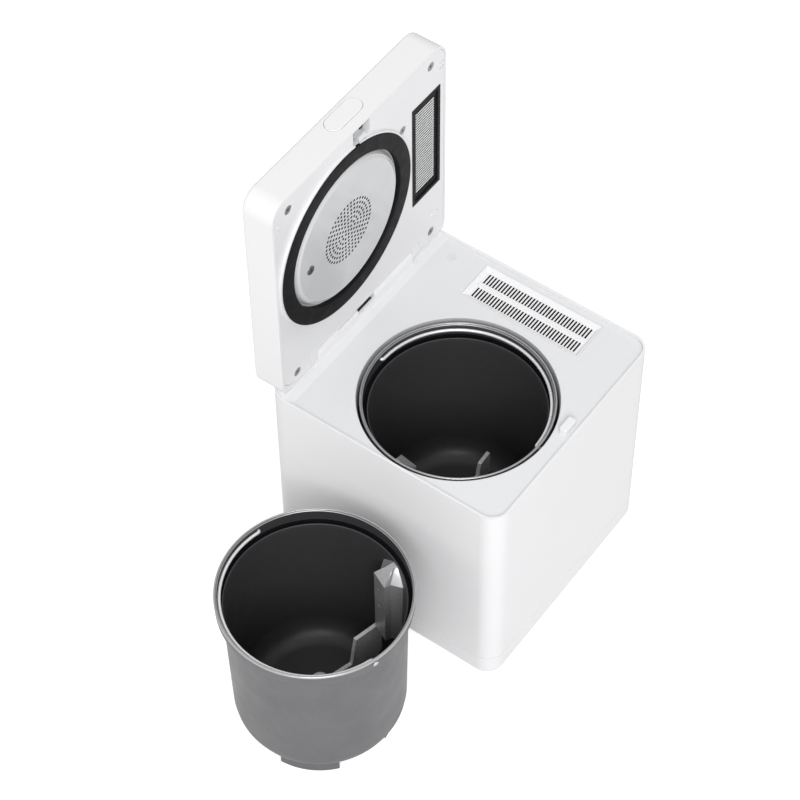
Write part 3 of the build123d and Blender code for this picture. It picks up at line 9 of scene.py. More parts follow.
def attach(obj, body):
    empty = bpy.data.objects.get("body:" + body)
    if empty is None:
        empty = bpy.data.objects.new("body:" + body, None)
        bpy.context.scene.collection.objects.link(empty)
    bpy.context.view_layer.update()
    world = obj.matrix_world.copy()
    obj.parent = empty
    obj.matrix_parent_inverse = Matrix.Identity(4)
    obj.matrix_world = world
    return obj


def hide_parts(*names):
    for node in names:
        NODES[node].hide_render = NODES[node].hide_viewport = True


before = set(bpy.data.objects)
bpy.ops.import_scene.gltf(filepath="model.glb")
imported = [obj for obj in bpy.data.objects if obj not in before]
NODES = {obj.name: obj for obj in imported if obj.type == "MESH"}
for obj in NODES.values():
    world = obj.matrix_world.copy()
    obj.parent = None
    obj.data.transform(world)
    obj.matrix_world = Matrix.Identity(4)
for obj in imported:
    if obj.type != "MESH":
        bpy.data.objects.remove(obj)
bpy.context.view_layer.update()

MM = 0.001

# ------------------------------------------------------------------ materials

# Depth of the finest turned or brushed lines, and two borders between surfaces of one piece: the
# vent tray's face lies above the first, and below it the tray is painted near-black as painted shade
# in its slots; the hinge hump begins behind the second and is tinted lighter there as a painted
# highlight. All in metres.
LINE_RELIEF = 0.000012
VENT_PAINTED_SHADE_TOP_Z = 0.2698
HUMP_FRONT_Y = 0.1157


class Graph:
    """A material's node tree with short calls for the nodes used here."""

    def __init__(self, name):
        self.mat = bpy.data.materials.new(name)
        self.mat.use_nodes = True
        self.tree = self.mat.node_tree
        self.tree.nodes.clear()
        self.out = self.add("ShaderNodeOutputMaterial")
        self.bsdf = self.add("ShaderNodeBsdfPrincipled")
        self.link(self.bsdf, "BSDF", self.out, "Surface")
        self.coord = self.add("ShaderNodeTexCoord")

    def add(self, kind, **values):
        node = self.tree.nodes.new(kind)
        for key, value in values.items():
            setattr(node, key, value)
        return node

    def link(self, a, out, b, into):
        self.tree.links.new(a.outputs[out], b.inputs[into])

    def mapped(self, scale):
        node = self.add("ShaderNodeMapping")
        node.inputs["Scale"].default_value = scale
        self.link(self.coord, "Object", node, "Vector")
        return node

    def noise(self, scale, detail=2.0, rough=0.5, stretch=None, distortion=0.0):
        node = self.add("ShaderNodeTexNoise")
        node.inputs["Scale"].default_value = scale
        node.inputs["Detail"].default_value = detail
        node.inputs["Roughness"].default_value = rough
        node.inputs["Distortion"].default_value = distortion
        if stretch is None:
            self.link(self.coord, "Object", node, "Vector")
        else:
            self.link(self.mapped(stretch), "Vector", node, "Vector")
        return node

    def spread(self, node, out, low, high, start=0.3, end=0.7):
        ranged = self.add("ShaderNodeMapRange")
        self.link(node, out, ranged, "Value")
        ranged.inputs["From Min"].default_value = start
        ranged.inputs["From Max"].default_value = end
        ranged.inputs["To Min"].default_value = low
        ranged.inputs["To Max"].default_value = high
        return ranged

    def two_tone(self, node, out, dark, light, start=0.3, end=0.7):
        ranged = self.spread(node, out, 0, 1, start, end)
        mix = self.add("ShaderNodeMix", data_type="RGBA")
        self.link(ranged, "Result", mix, "Factor")
        mix.inputs["A"].default_value = (*dark, 1)
        mix.inputs["B"].default_value = (*light, 1)
        return mix

    def bump(self, node, out, strength, distance, under=None):
        bump = self.add("ShaderNodeBump")
        bump.inputs["Strength"].default_value = strength
        bump.inputs["Distance"].default_value = distance
        self.link(node, out, bump, "Height")
        if under is not None:
            self.link(under, "Normal", bump, "Normal")
        return bump


def shade(color, factor):
    return tuple(min(1.0, c * factor) for c in color)


def moulded(name, color, rough=0.35, spread=0.05, tone=0.012, grain=900.0, relief=0.00002,
            bump=0.12, shine=0.5):
    """Injection-moulded plastic: slow tone drift, uneven gloss, fine spark-eroded grain."""
    g = Graph(name)
    drift = g.noise(14.0, 3.0, 0.55)
    tint = g.two_tone(drift, "Fac", shade(color, 1 - tone), shade(color, 1 + tone))
    g.link(tint, "Result", g.bsdf, "Base Color")
    smear = g.noise(38.0, 4.0, 0.6, stretch=(1.0, 1.4, 0.8))
    gloss = g.spread(smear, "Fac", rough - spread, rough + spread)
    g.link(gloss, "Result", g.bsdf, "Roughness")
    peel = g.noise(140.0, 1.0, 0.5)
    first = g.bump(peel, "Fac", bump * 0.15, relief)
    fine = g.noise(grain, 2.0, 0.6)
    second = g.bump(fine, "Fac", bump, relief, under=first)
    g.link(second, "Normal", g.bsdf, "Normal")
    g.bsdf.inputs["Specular IOR Level"].default_value = shine
    return g


def two_zone(name, color, far_color, rough, far_rough, border, axis="Y"):
    """Moulding in one colour and gloss up to a border on one axis, and another beyond it; here it paints
    shade into the vent slots and a highlight onto the hinge hump.
    """
    g = moulded(name, color, rough, spread=0.02, tone=0.004)
    split = g.add("ShaderNodeSeparateXYZ")
    g.link(g.coord, "Object", split, "Vector")
    beyond = g.add("ShaderNodeMath", operation="GREATER_THAN")
    beyond.inputs[1].default_value = border
    g.link(split, axis, beyond, 0)
    drift = g.noise(19.0, 3.0, 0.55)
    base = g.bsdf.inputs["Base Color"].links[0].from_socket
    far_tint = g.two_tone(drift, "Fac", shade(far_color, 0.995), shade(far_color, 1.005))
    tint = g.add("ShaderNodeMix", data_type="RGBA")
    g.link(beyond, "Value", tint, "Factor")
    g.tree.links.new(base, tint.inputs["A"])
    g.tree.links.new(far_tint.outputs["Result"], tint.inputs["B"])
    g.link(tint, "Result", g.bsdf, "Base Color")
    gloss = g.bsdf.inputs["Roughness"].links[0].from_socket
    far_gloss = g.spread(drift, "Fac", far_rough - 0.02, far_rough + 0.02)
    level = g.add("ShaderNodeMix", data_type="FLOAT")
    g.link(beyond, "Value", level, "Factor")
    g.tree.links.new(gloss, level.inputs["A"])
    g.tree.links.new(far_gloss.outputs["Result"], level.inputs["B"])
    g.link(level, "Result", g.bsdf, "Roughness")
    return g


def metal(name, color, rough=0.3, spread=0.06, stretch=(1, 1, 12), scale=240.0, bump=0.2,
          metallic=1.0, tone=0.05):
    """Drawn or brushed metal: fine lines along one direction, uneven polish."""
    g = Graph(name)
    lines = g.noise(scale, 3.0, 0.6, stretch=stretch)
    tint = g.two_tone(lines, "Fac", shade(color, 1 - tone), shade(color, 1 + tone))
    g.link(tint, "Result", g.bsdf, "Base Color")
    wipe = g.noise(30.0, 3.0, 0.6)
    gloss = g.spread(wipe, "Fac", rough - spread, rough + spread)
    g.link(gloss, "Result", g.bsdf, "Roughness")
    g.link(g.bump(lines, "Fac", bump, LINE_RELIEF), "Normal", g.bsdf, "Normal")
    g.bsdf.inputs["Metallic"].default_value = metallic
    return g


def cast(name, color, rough, metallic):
    """Die-cast alloy: pebbled skin with brighter rubbed high spots."""
    g = Graph(name)
    pebble = g.noise(520.0, 3.0, 0.6)
    tint = g.two_tone(pebble, "Fac", shade(color, 0.86), shade(color, 1.1))
    g.link(tint, "Result", g.bsdf, "Base Color")
    rub = g.noise(60.0, 4.0, 0.65)
    g.link(g.spread(rub, "Fac", rough - 0.12, rough + 0.12), "Result", g.bsdf, "Roughness")
    g.link(g.bump(pebble, "Fac", 0.35, 0.00006), "Normal", g.bsdf, "Normal")
    g.bsdf.inputs["Metallic"].default_value = metallic
    return g


def rubber(name, color, rough=0.62, shine=0.5):
    """Silicone or rubber: chalky, with a fine tooth and faint dust."""
    g = Graph(name)
    dust = g.noise(70.0, 5.0, 0.7)
    tint = g.two_tone(dust, "Fac", shade(color, 0.85), shade(color, 1.25))
    g.link(tint, "Result", g.bsdf, "Base Color")
    g.link(g.spread(dust, "Fac", rough + 0.08, rough - 0.08), "Result", g.bsdf, "Roughness")
    tooth = g.noise(1500.0, 2.0, 0.6)
    g.link(g.bump(tooth, "Fac", 0.2, 0.00003), "Normal", g.bsdf, "Normal")
    g.bsdf.inputs["Specular IOR Level"].default_value = shine
    return g


def coated(name, color, rough=0.38, flake=0.2, metallic=0.0, shine=0.5):
    """Non-stick spray coat over spun aluminium: speckle, faint spinning lines, satin gloss."""
    g = Graph(name)
    speck = g.noise(700.0, 2.0, 0.6)
    tint = g.two_tone(speck, "Fac", shade(color, 0.97), shade(color, 1 + flake), 0.35, 0.75)
    g.link(tint, "Result", g.bsdf, "Base Color")
    wipe = g.noise(26.0, 4.0, 0.6)
    g.link(g.spread(wipe, "Fac", rough - 0.07, rough + 0.07), "Result", g.bsdf, "Roughness")
    lines = g.noise(60.0, 1.0, 0.5, stretch=(1, 1, 8))
    low = g.bump(lines, "Fac", 0.05, 0.00003)
    tooth = g.noise(420.0, 1.0, 0.5)
    g.link(g.bump(tooth, "Fac", 0.06, 0.00002, under=low), "Normal", g.bsdf, "Normal")
    g.bsdf.inputs["Metallic"].default_value = metallic
    g.bsdf.inputs["Specular IOR Level"].default_value = shine
    return g


def glossy_sheet(name, color, rough):
    """Polished polycarbonate or glass: nearly mirror smooth, a little waviness and wiping haze."""
    g = Graph(name)
    haze = g.noise(22.0, 4.0, 0.6, distortion=0.6)
    tint = g.two_tone(haze, "Fac", shade(color, 0.97), shade(color, 1.03))
    g.link(tint, "Result", g.bsdf, "Base Color")
    g.link(g.spread(haze, "Fac", rough * 0.6, rough * 1.6), "Result", g.bsdf, "Roughness")
    wave = g.noise(30.0, 1.0, 0.4)
    g.link(g.bump(wave, "Fac", 0.05, 0.0002), "Normal", g.bsdf, "Normal")
    return g


MATERIALS = {
    "white": moulded("white_shell", (0.825, 0.825, 0.835), 0.48, spread=0.03, tone=0.004, grain=1100.0,
                     shine=0.3),
    # Vent tray: the near-black below its face is painted shade in the slots; the white above is its
    # plastic.
    "vent": two_zone("vent_tray_painted_slot_shade", (0.015, 0.015, 0.016), (0.85, 0.85, 0.86), 0.6, 0.36,
                     VENT_PAINTED_SHADE_TOP_Z, "Z"),
    "white_gloss": moulded("white_gloss", (0.84, 0.84, 0.85), 0.16, spread=0.04, bump=0.05),
    "panel": moulded("lid_panel", (0.81, 0.81, 0.825), 0.2, spread=0.03, tone=0.004, bump=0.05,
                     shine=0.28),
    # Deck: behind the border the hinge hump is tinted lighter as a painted highlight, and given more
    # gloss.
    "deck": two_zone("deck_and_painted_highlight_hump", (0.765, 0.77, 0.785), (0.88, 0.88, 0.885), 0.3, 0.14,
                     HUMP_FRONT_Y),
    "light_grey": moulded("light_grey_plastic", (0.56, 0.565, 0.575), 0.34),
    "black": moulded("black_plastic", (0.022, 0.022, 0.024), 0.42, tone=0.2),
    "duct": moulded("duct_plastic", (0.035, 0.035, 0.037), 0.55, tone=0.1),
    "dark": moulded("hole_shadow", (0.012, 0.012, 0.013), 0.7, tone=0.1),
    "slat": moulded("slat_grey", (0.72, 0.725, 0.735), 0.3),
    # The near-black in the pot's ledge groove is painted shade.
    "groove": rubber("ledge_groove_painted_shade", (0.004, 0.004, 0.005), 0.8, 0.05),
    "nylon": moulded("gear_nylon", (0.72, 0.7, 0.64), 0.5),
    "board": moulded("board_green", (0.02, 0.13, 0.06), 0.35, tone=0.15),
    "charcoal": moulded("charcoal_pad", (0.02, 0.02, 0.02), 0.9, grain=500.0, relief=0.0003, bump=0.8),
    "seal": rubber("seal_silicone", (0.008, 0.008, 0.009), 0.6, 0.18),
    "foot": rubber("foot_rubber", (0.04, 0.04, 0.042)),
    "heater": rubber("heater_silicone", (0.30, 0.07, 0.03)),
    "wire": metal("handle_wire", (0.86, 0.86, 0.87), 0.3, metallic=0.45, stretch=(1, 1, 1), scale=900.0),
    "screw": metal("zinc_screw", (0.34, 0.34, 0.35), 0.4, stretch=(1, 1, 1), scale=700.0),
    "steel": metal("machined_steel", (0.6, 0.6, 0.61), 0.3),
    "bronze": metal("sintered_bronze", (0.52, 0.38, 0.22), 0.45, stretch=(1, 1, 1), scale=900.0),
    "spun": metal("spun_aluminium", (0.62, 0.62, 0.63), 0.36, stretch=(1, 1, 14), scale=120.0),
    "funnel": metal("funnel_satin", (0.68, 0.685, 0.70), 0.45, stretch=(1, 1, 10), scale=150.0,
                    metallic=0.55),
    "cast": cast("cast_alloy", (0.9, 0.9, 0.9), 0.4, 0.1),
    "breaker": cast("breaker_cast", (0.55, 0.55, 0.56), 0.4, 0.6),
    "pot_out": coated("pot_outside", (0.182, 0.182, 0.188), 0.46, flake=0.08, metallic=0.75,
                      shine=0.15),
    "pot_in": coated("pot_inside", (0.040, 0.040, 0.042), 0.42),
    "rim": metal("turned_rim", (0.52, 0.52, 0.53), 0.34, spread=0.03, stretch=(1, 1, 8),
                 scale=120.0, bump=0.05, tone=0.03),
    "disc": glossy_sheet("steam_disc", (0.62, 0.625, 0.635), 0.1),
    "glass": glossy_sheet("touch_glass", (0.012, 0.012, 0.014), 0.06),
}

LOOKS = {
    "base_pan": "white", "rubber_feet": "foot", "base_screws": "screw", "outer_shell": "white",
    "deck_panel": "deck", "funnel_ring": "funnel", "vent_tray": "vent", "latch_striker": "white",
    "lid_sensor": "slat", "hinge_pins": "steel", "harness_grommet": "foot",
    "bucket_well": "spun", "heater_band": "heater", "shaft_seal": "seal", "gearbox_tray": "black",
    "gearbox_cover": "black", "gearbox_screws": "screw", "idler_pin": "steel",
    "shaft_bushes": "bronze", "motor": "steel", "air_duct": "duct", "filter_box": "black",
    "carbon_filter": "charcoal", "fan_housing": "black", "control_board": "board",
    "power_inlet": "black", "rear_grille": "white", "drive_gear": "nylon", "drive_shaft": "steel",
    "idler_gear": "nylon", "motor_pinion": "steel", "fan_impeller": "black", "lid_shell": "white",
    "lid_inner_panel": "panel", "lid_gasket": "seal", "steam_plate": "disc",
    "window_gasket": "seal", "window_grille": "light_grey", "lid_duct": "duct",
    "lid_screws": "screw", "touch_panel": "glass", "lid_board": "board", "sensor_magnet": "steel",
    "latch_spring": "wire", "release_button": "white_gloss", "latch_hook": "slat",
    "bucket_pot": "pot_out", "bucket_bushing": "bronze", "bucket_breaker_block": "breaker",
    "bucket_breaker_screws": "screw", "bucket_handle_pivots": "steel", "bucket_handle": "wire",
    "bucket_stirrer": "cast", "spare_pot": "pot_out", "spare_bushing": "bronze",
    "spare_breaker_block": "breaker", "spare_breaker_screws": "screw",
    "spare_handle_pivots": "steel", "spare_handle": "wire", "spare_stirrer": "cast",
}

for name, look in LOOKS.items():
    mesh = NODES[name].data
    mesh.materials.clear()
    mesh.materials.append(MATERIALS[look].mat)

scene = bpy.context.scene
scene.view_settings.view_transform = "Standard"

# ------------------------------------------------------------------ mesh pieces

# Sizes and places from here on are in millimetres.
HINGE_Y = 126.2
HINGE_Z = 288.2

# How far a wire's end goes past its path, and how much of its radius is left there.
TIP_STEP = 0.3
TIP_TAPER = 0.75

# A corner that turns less than this, in radians, stays sharp; a rounding takes at most this share
# of the side next to it; and points closer than this are one.
STRAIGHT = 0.02
SIDE_SHARE = 0.49
SAME_POINT = 0.01


def lid_point(point):
    """A point of the shut lid, where the open lid has it."""
    x, y, z = point
    return (x, HINGE_Y + (z - HINGE_Z), HINGE_Z - (y - HINGE_Y))


def as_is(point):
    return point


def spun_about(at, turn=0.0):
    """Places a piece drawn about its own axis: turned, then moved."""
    x, y, base = at
    c, s = math.cos(math.radians(turn)), math.sin(math.radians(turn))

    def place(point):
        px, py, pz = point
        return (x + c * px - s * py, y + s * px + c * py, base + pz)

    return place


def eased(corners, steps=6):
    """Outline with its corners rounded: (a, b, radius, mark) in, (a, b, mark) out."""
    out = []
    count = len(corners)
    for i, (a, b, radius, mark) in enumerate(corners):
        here = Vector((a, b))
        before = Vector(corners[i - 1][:2]) - here
        after = Vector(corners[(i + 1) % count][:2]) - here
        if radius <= 0 or before.length < 1e-6 or after.length < 1e-6:
            out.append((a, b, mark))
            continue
        turn = math.pi - before.angle(after)
        if turn < STRAIGHT:
            out.append((a, b, mark))
            continue
        longest = SIDE_SHARE * min(before.length, after.length)
        reach = min(radius * math.tan(turn / 2), longest)
        round_off = reach / math.tan(turn / 2)
        start = before.normalized() * reach
        end = after.normalized() * reach
        centre = (before.normalized() + after.normalized()).normalized()
        centre *= round_off / math.cos(turn / 2)
        for k in range(steps + 1):
            t = k / steps
            p = here + centre
            p += math.sin((1 - t) * turn) / math.sin(turn) * (start - centre)
            p += math.sin(t * turn) / math.sin(turn) * (end - centre)
            out.append((p.x, p.y, mark))
    return out


def lathe(outline, turns=192, first=0.0, sweep=360.0):
    """Closed outline of (r, z, mark) turned about Z, the whole way round or through a sweep."""
    whole = sweep >= 360.0
    stations = turns if whole else turns + 1
    verts, faces, marks = [], [], []
    for r, z, _ in outline:
        for k in range(stations):
            angle = math.radians(first + sweep * k / turns)
            verts.append((r * math.cos(angle), r * math.sin(angle), z))
    rows = len(outline)
    for i in range(rows):
        j = (i + 1) % rows
        for k in range(turns):
            n = (k + 1) % stations
            faces.append((i * stations + k, i * stations + n, j * stations + n, j * stations + k))
            marks.append(outline[i][2])
    if not whole:
        faces.append(tuple(i * stations for i in range(rows)))
        faces.append(tuple(i * stations + turns for i in reversed(range(rows))))
        marks += [outline[0][2]] * 2
    return verts, faces, marks


def tube(path, radius, sides=20):
    """Round wire along a level path, with eased ends."""
    verts, faces = [], []
    up = Vector((0, 0, 1))
    points = [Vector(p) for p in path]
    lead = (points[0] - points[1]).normalized()
    tail = (points[-1] - points[-2]).normalized()
    stations = [(points[0] + lead * TIP_STEP, radius * TIP_TAPER)]
    stations += [(p, radius) for p in points]
    stations += [(points[-1] + tail * TIP_STEP, radius * TIP_TAPER)]
    for i, (p, r) in enumerate(stations):
        a = stations[max(0, i - 1)][0]
        b = stations[min(len(stations) - 1, i + 1)][0]
        side = up.cross((b - a).normalized())
        for k in range(sides):
            angle = 2 * math.pi * k / sides
            verts.append(tuple(p + r * (math.cos(angle) * side + math.sin(angle) * up)))
    for i in range(len(stations) - 1):
        for k in range(sides):
            n = (k + 1) % sides
            faces.append((i * sides + k, i * sides + n, (i + 1) * sides + n, (i + 1) * sides + k))
    last = (len(stations) - 1) * sides
    faces.append(tuple(reversed(range(sides))))
    faces.append(tuple(last + k for k in range(sides)))
    return verts, faces, [0] * len(faces)


def prism(outline, low, high):
    """Closed outline of (a, b, mark) raised from low to high."""
    count = len(outline)
    verts = [(a, b, low) for a, b, _ in outline] + [(a, b, high) for a, b, _ in outline]
    faces = [tuple(reversed(range(count))), tuple(range(count, 2 * count))]
    for i in range(count):
        j = (i + 1) % count
        faces.append((i, j, count + j, count + i))
    return verts, faces, [0] * len(faces)


def joined(*parts):
    """One part from several, each of them vertices, faces and a material mark for each face."""
    verts, faces, marks = [], [], []
    for v, f, m in parts:
        base = len(verts)
        verts += v
        faces += [tuple(base + i for i in face) for face in f]
        marks += m
    return verts, faces, marks


def placed(part, place):
    verts, faces, marks = part
    return [place(v) for v in verts], faces, marks


def piece(name, part, looks, body, node, sharp=32.0):
    """Makes a mesh object of a part, rides it on its body and hides the node it replaces."""
    verts, faces, marks = part
    mesh = bpy.data.meshes.new(name)
    mesh.from_pydata([tuple(c * MM for c in v) for v in verts], [], faces)
    for look in looks:
        mesh.materials.append(MATERIALS[look].mat)
    for polygon, mark in zip(mesh.polygons, marks):
        polygon.material_index = mark
    data = bmesh.new()
    data.from_mesh(mesh)
    bmesh.ops.remove_doubles(data, verts=data.verts, dist=SAME_POINT * MM)
    bmesh.ops.recalc_face_normals(data, faces=data.faces)
    data.to_mesh(mesh)
    data.free()
    for polygon in mesh.polygons:
        polygon.use_smooth = True
    mesh.set_sharp_from_angle(angle=math.radians(sharp))
    obj = bpy.data.objects.new(name, mesh)
    scene.collection.objects.link(obj)
    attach(obj, body)
    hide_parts(node)
    return obj


def soften(obj, width):
    """Small rounded edges, so that corners catch the light."""
    bevel = obj.modifiers.new("edges", "BEVEL")
    bevel.width = width * MM
    bevel.segments = 3
    bevel.limit_method = "ANGLE"
    bevel.angle_limit = math.radians(25)
    bevel.harden_normals = True


# ------------------------------------------------------------------ buckets

# Both buckets' places. Their sizes below are counted from their own axis and lowest point.
BUCKET_AT = (-30.5, -18.3, 62.4)
SPARE_AT = (-259.0, -13.0, 0.0)
SPARE_TURN = 163.0

RIM_Z = 210.0
RIM_R = 96.78
MOUTH_R = 94.9
SHOULDER_R = 96.4
COLLAR_R = 93.5
LEDGE_Z = 193.5
WALL_R = 89.6
WALL_TOP_Z = 188.5
FLOOR_R = 86.6
FLOOR_Z = 12.5
FLOOR_ROUND = 27.0
SHEET = 1.8
BOSS_R = 10.0
LUG_ANGLES = (45, 135, 225, 315)
LUG_SWEEP = 46.0
LUG_IN_R = 73.0
LUG_OUT_R = 76.0
POT_OUT, POT_IN, POT_RIM, POT_GROOVE_SHADE = range(4)

PIVOT_Z = 203.5
PIVOT_REACH = 97.0
WIRE_ARC = 91.5
WIRE_R = 1.7
WIRE_BEND = 2.4

BLADE_THICK = 4.0
BLADE_TURN = 3.0
BLADE_LOW = 17.6


def pot_part():
    """Spun pot with its stepped rim, wire ledge and four standing lugs."""
    outline = eased([
        (BOSS_R, FLOOR_Z, 0, POT_OUT),
        (FLOOR_R, FLOOR_Z, FLOOR_ROUND, POT_OUT),
        (WALL_R, WALL_TOP_Z, 6.0, POT_OUT),
        (SHOULDER_R, 197.3, 2.5, POT_OUT),
        (SHOULDER_R, RIM_Z - 2.8, 0.2, POT_RIM),
        (RIM_R, RIM_Z - 2.3, 0.3, POT_RIM),
        (RIM_R, RIM_Z, 0.9, POT_RIM),
        (MOUTH_R, RIM_Z, 0.6, POT_RIM),
        (MOUTH_R - 0.5, RIM_Z - 1.5, 0.5, POT_RIM),
        (COLLAR_R, RIM_Z - 1.9, 0.4, POT_IN),
        # The groove under the collar is painted near-black: painted shade.
        (COLLAR_R, LEDGE_Z + 1.5, 0.6, POT_GROOVE_SHADE),
        (COLLAR_R - 1.3, LEDGE_Z, 0.3, POT_GROOVE_SHADE),
        (WALL_R, LEDGE_Z, 0.2, POT_GROOVE_SHADE),
        (WALL_R - 0.4, LEDGE_Z + 0.4, 0.2, POT_IN),
        (WALL_R - 1.3, LEDGE_Z, 0.4, POT_IN),
        (WALL_R - SHEET, WALL_TOP_Z, 4.0, POT_IN),
        (FLOOR_R - SHEET, FLOOR_Z + SHEET, FLOOR_ROUND - SHEET, POT_IN),
        (BOSS_R, FLOOR_Z + SHEET, 0, POT_IN),
    ])
    lug = eased([
        (LUG_IN_R, 0.0, 0.5, POT_OUT),
        (LUG_OUT_R, 0.0, 0.5, POT_OUT),
        (LUG_OUT_R, 18.6, 0, POT_OUT),
        (LUG_IN_R, 16.6, 0, POT_OUT),
    ], 3)
    lugs = [lathe(lug, 40, angle - LUG_SWEEP / 2, LUG_SWEEP) for angle in LUG_ANGLES]
    return joined(lathe(outline, 224), *lugs)


def bent_end(side):
    """Path from the pivot on one side inwards to the start of the wire's arc."""
    path = [(0, side * PIVOT_REACH, PIVOT_Z), (0, side * (WIRE_ARC + WIRE_BEND), PIVOT_Z)]
    for k in range(1, 5):
        t = k / 5
        path.append((WIRE_BEND * t * t, side * (WIRE_ARC + WIRE_BEND * (1 - t) ** 2), PIVOT_Z))
    return path


def wire_part():
    """Wire handle folded down on the ledge: half a circle between two bent ends."""
    start = math.degrees(math.asin(WIRE_BEND / WIRE_ARC))
    path = bent_end(-1)
    for k in range(97):
        angle = math.radians(-90 + start + (180 - 2 * start) * k / 96)
        path.append((WIRE_ARC * math.cos(angle), WIRE_ARC * math.sin(angle), PIVOT_Z))
    return tube(path + bent_end(1)[::-1], WIRE_R)


def blade_part(outline, turn):
    """Flat blade in the upright plane through the axis at this turn."""
    rounded = eased([(x, z, 1.2, 0) for x, z in outline], 3)
    verts, faces, marks = prism(rounded, -BLADE_THICK / 2, BLADE_THICK / 2)
    upright = [(x, -side, z) for x, z, side in verts]
    return placed((upright, faces, marks), spun_about((0, 0, 0), turn))


def stirrer_part():
    """Hub with a tall sweeping blade and a lower scraping blade opposite."""
    hub = lathe(eased([
        (0.01, 1.0, 0, 0), (7.5, 1.0, 0.4, 0), (7.5, 16.1, 0, 0), (15.0, 16.1, 0.8, 0),
        (9.0, 50.1, 2.5, 0), (0.01, 50.1, 0, 0),
    ]), 96)
    sweep = [(2, BLADE_LOW), (60, BLADE_LOW), (71, 20.1), (79, 28.6), (79, 77.0), (46, 77.0),
             (40, 38.1), (2, 42.0)]
    scraper = [(2, BLADE_LOW), (58, BLADE_LOW), (62, 21.6), (62, 52.0), (44, 52.0), (40, 34.1),
               (2, 38.0)]
    return joined(hub, blade_part(sweep, 180.0 + BLADE_TURN), blade_part(scraper, BLADE_TURN))


def bucket_pieces(prefix, pot_body, wire_body, stirrer_body, place):
    paddle = piece(f"{prefix}_stirrer_cast", placed(stirrer_part(), place), ("cast",),
                   stirrer_body, f"{prefix}_stirrer", 20.0)
    soften(paddle, 0.5)
    piece(f"{prefix}_pot_spun", placed(pot_part(), place), ("pot_out", "pot_in", "rim", "groove"),
          pot_body, f"{prefix}_pot", 28.0)
    piece(f"{prefix}_wire_bail", placed(wire_part(), place), ("wire",), wire_body,
          f"{prefix}_handle")


bucket_pieces("bucket", "bucket", "handle", "stirrer", spun_about(BUCKET_AT))
bucket_pieces("spare", "spare_bucket", "spare_wire", "spare_mixer",
              spun_about(SPARE_AT, SPARE_TURN))

# ------------------------------------------------------------------ throat and lid

# The lid's places and heights below are those it has when shut.
SEAL_AT = (-28.0, -17.7, 0.0)
DISC_FACE = 274.3
DISC_BACK = 275.9
HOLE_R = 1.5
HOLE_SIDES = 16
HOLE_RINGS = 7
RING_STEP = 4.92
SPRAY_R = 40.0
SPRAY_SIDES = 96

WINDOW_AT = (102.9, -16.6)
SLATS = 32
SLAT_PITCH = 3.48
SLAT_HALF = 0.85
SLAT_REACH = 15.0
SLAT_LOW, SLAT_HIGH = 279.5, 279.9
EDGE_X, EDGE_Y = 17.1, 58.6
EDGE_HALF = 2.1
EDGE_LOW, EDGE_HIGH = 280.4, 281.4


def on_lid(part, place=as_is):
    return placed(placed(part, place), lid_point)


def throat_part():
    """Bright funnel ring that leads into the bucket's place."""
    return lathe(eased([
        (100.4, 274.0, 0, 0), (100.4, 271.0, 0, 0), (101.4, 271.0, 0, 0), (101.4, 269.4, 0, 0),
        (99.5, 269.4, 0, 0), (99.5, 262.0, 0, 0), (98.5, 262.0, 0, 0), (98.5, 266.0, 1.0, 0),
        (100.0, 274.0, 0, 0),
    ]), 224)


def seal_part():
    """Flat ring that meets the throat, with a lip that holds it in the lid."""
    return lathe(eased([
        (83.6, DISC_FACE, 0.9, 0), (101.0, DISC_FACE, 0.9, 0), (101.0, 277.1, 0.2, 0),
        (85.2, 277.1, 0, 0), (85.2, 280.4, 0, 0), (83.6, 280.4, 0, 0),
    ]), 224)


def circle(x, y, radius, sides):
    angles = [2 * math.pi * k / sides for k in range(sides)]
    return [Vector((x + radius * math.cos(a), y + radius * math.sin(a))) for a in angles]


def spray_part():
    """Perforated middle of the steam disc: rings of six more round holes each."""
    centres = [(0.0, 0.0)]
    for ring in range(1, HOLE_RINGS + 1):
        for k in range(6 * ring):
            angle = 2 * math.pi * (k + 0.5 * (ring % 2)) / (6 * ring)
            centres.append((RING_STEP * ring * math.cos(angle), RING_STEP * ring * math.sin(angle)))
    points = circle(0.0, 0.0, SPRAY_R, SPRAY_SIDES)
    edges = [(k, (k + 1) % SPRAY_SIDES) for k in range(SPRAY_SIDES)]
    walls = []
    for x, y in centres:
        base = len(points)
        points += circle(x, y, HOLE_R, HOLE_SIDES)
        walls += [(base + k, base + (k + 1) % HOLE_SIDES) for k in range(HOLE_SIDES)]
    flat, _, tiles, *_ = delaunay_2d_cdt(points, edges + walls, [], 2, 1e-5)
    kept = []
    for tile in tiles:
        middle = sum((flat[i] for i in tile), Vector((0, 0))) / len(tile)
        if all((middle - Vector(c)).length > 0.96 * HOLE_R for c in centres):
            kept.append(tuple(tile))
    count = len(flat)
    verts = [(p.x, p.y, DISC_FACE) for p in flat] + [(p.x, p.y, DISC_BACK) for p in flat]
    faces = kept + [tuple(count + i for i in reversed(tile)) for tile in kept]
    marks = [0] * len(faces) + [1] * len(walls)
    faces += [(i, j, count + j, count + i) for i, j in walls]
    return verts, faces, marks


def disc_part():
    """Steam disc around its perforated middle, stepping back to the seal."""
    outline = eased([
        (SPRAY_R, DISC_FACE, 0, 0), (75.3, DISC_FACE, 0.5, 0), (77.8, 276.2, 0.3, 0),
        (78.6, 276.2, 0.3, 0), (81.9, 280.4, 0.6, 0), (86.8, 280.4, 0, 0), (86.8, 282.0, 0, 0),
        (80.9, 282.0, 0, 0), (74.3, DISC_BACK, 0, 0), (SPRAY_R, DISC_BACK, 0, 0),
    ], 4)
    return joined(spray_part(), lathe(outline, 192))


def window_edge(left, front, right, back):
    """Raised edge strip of the window between two of its corners."""
    corners = [(left, front), (right, front), (right, back), (left, back)]
    return prism(eased([(x, y, 0.4, 0) for x, y in corners], 2), EDGE_LOW, EDGE_HIGH)


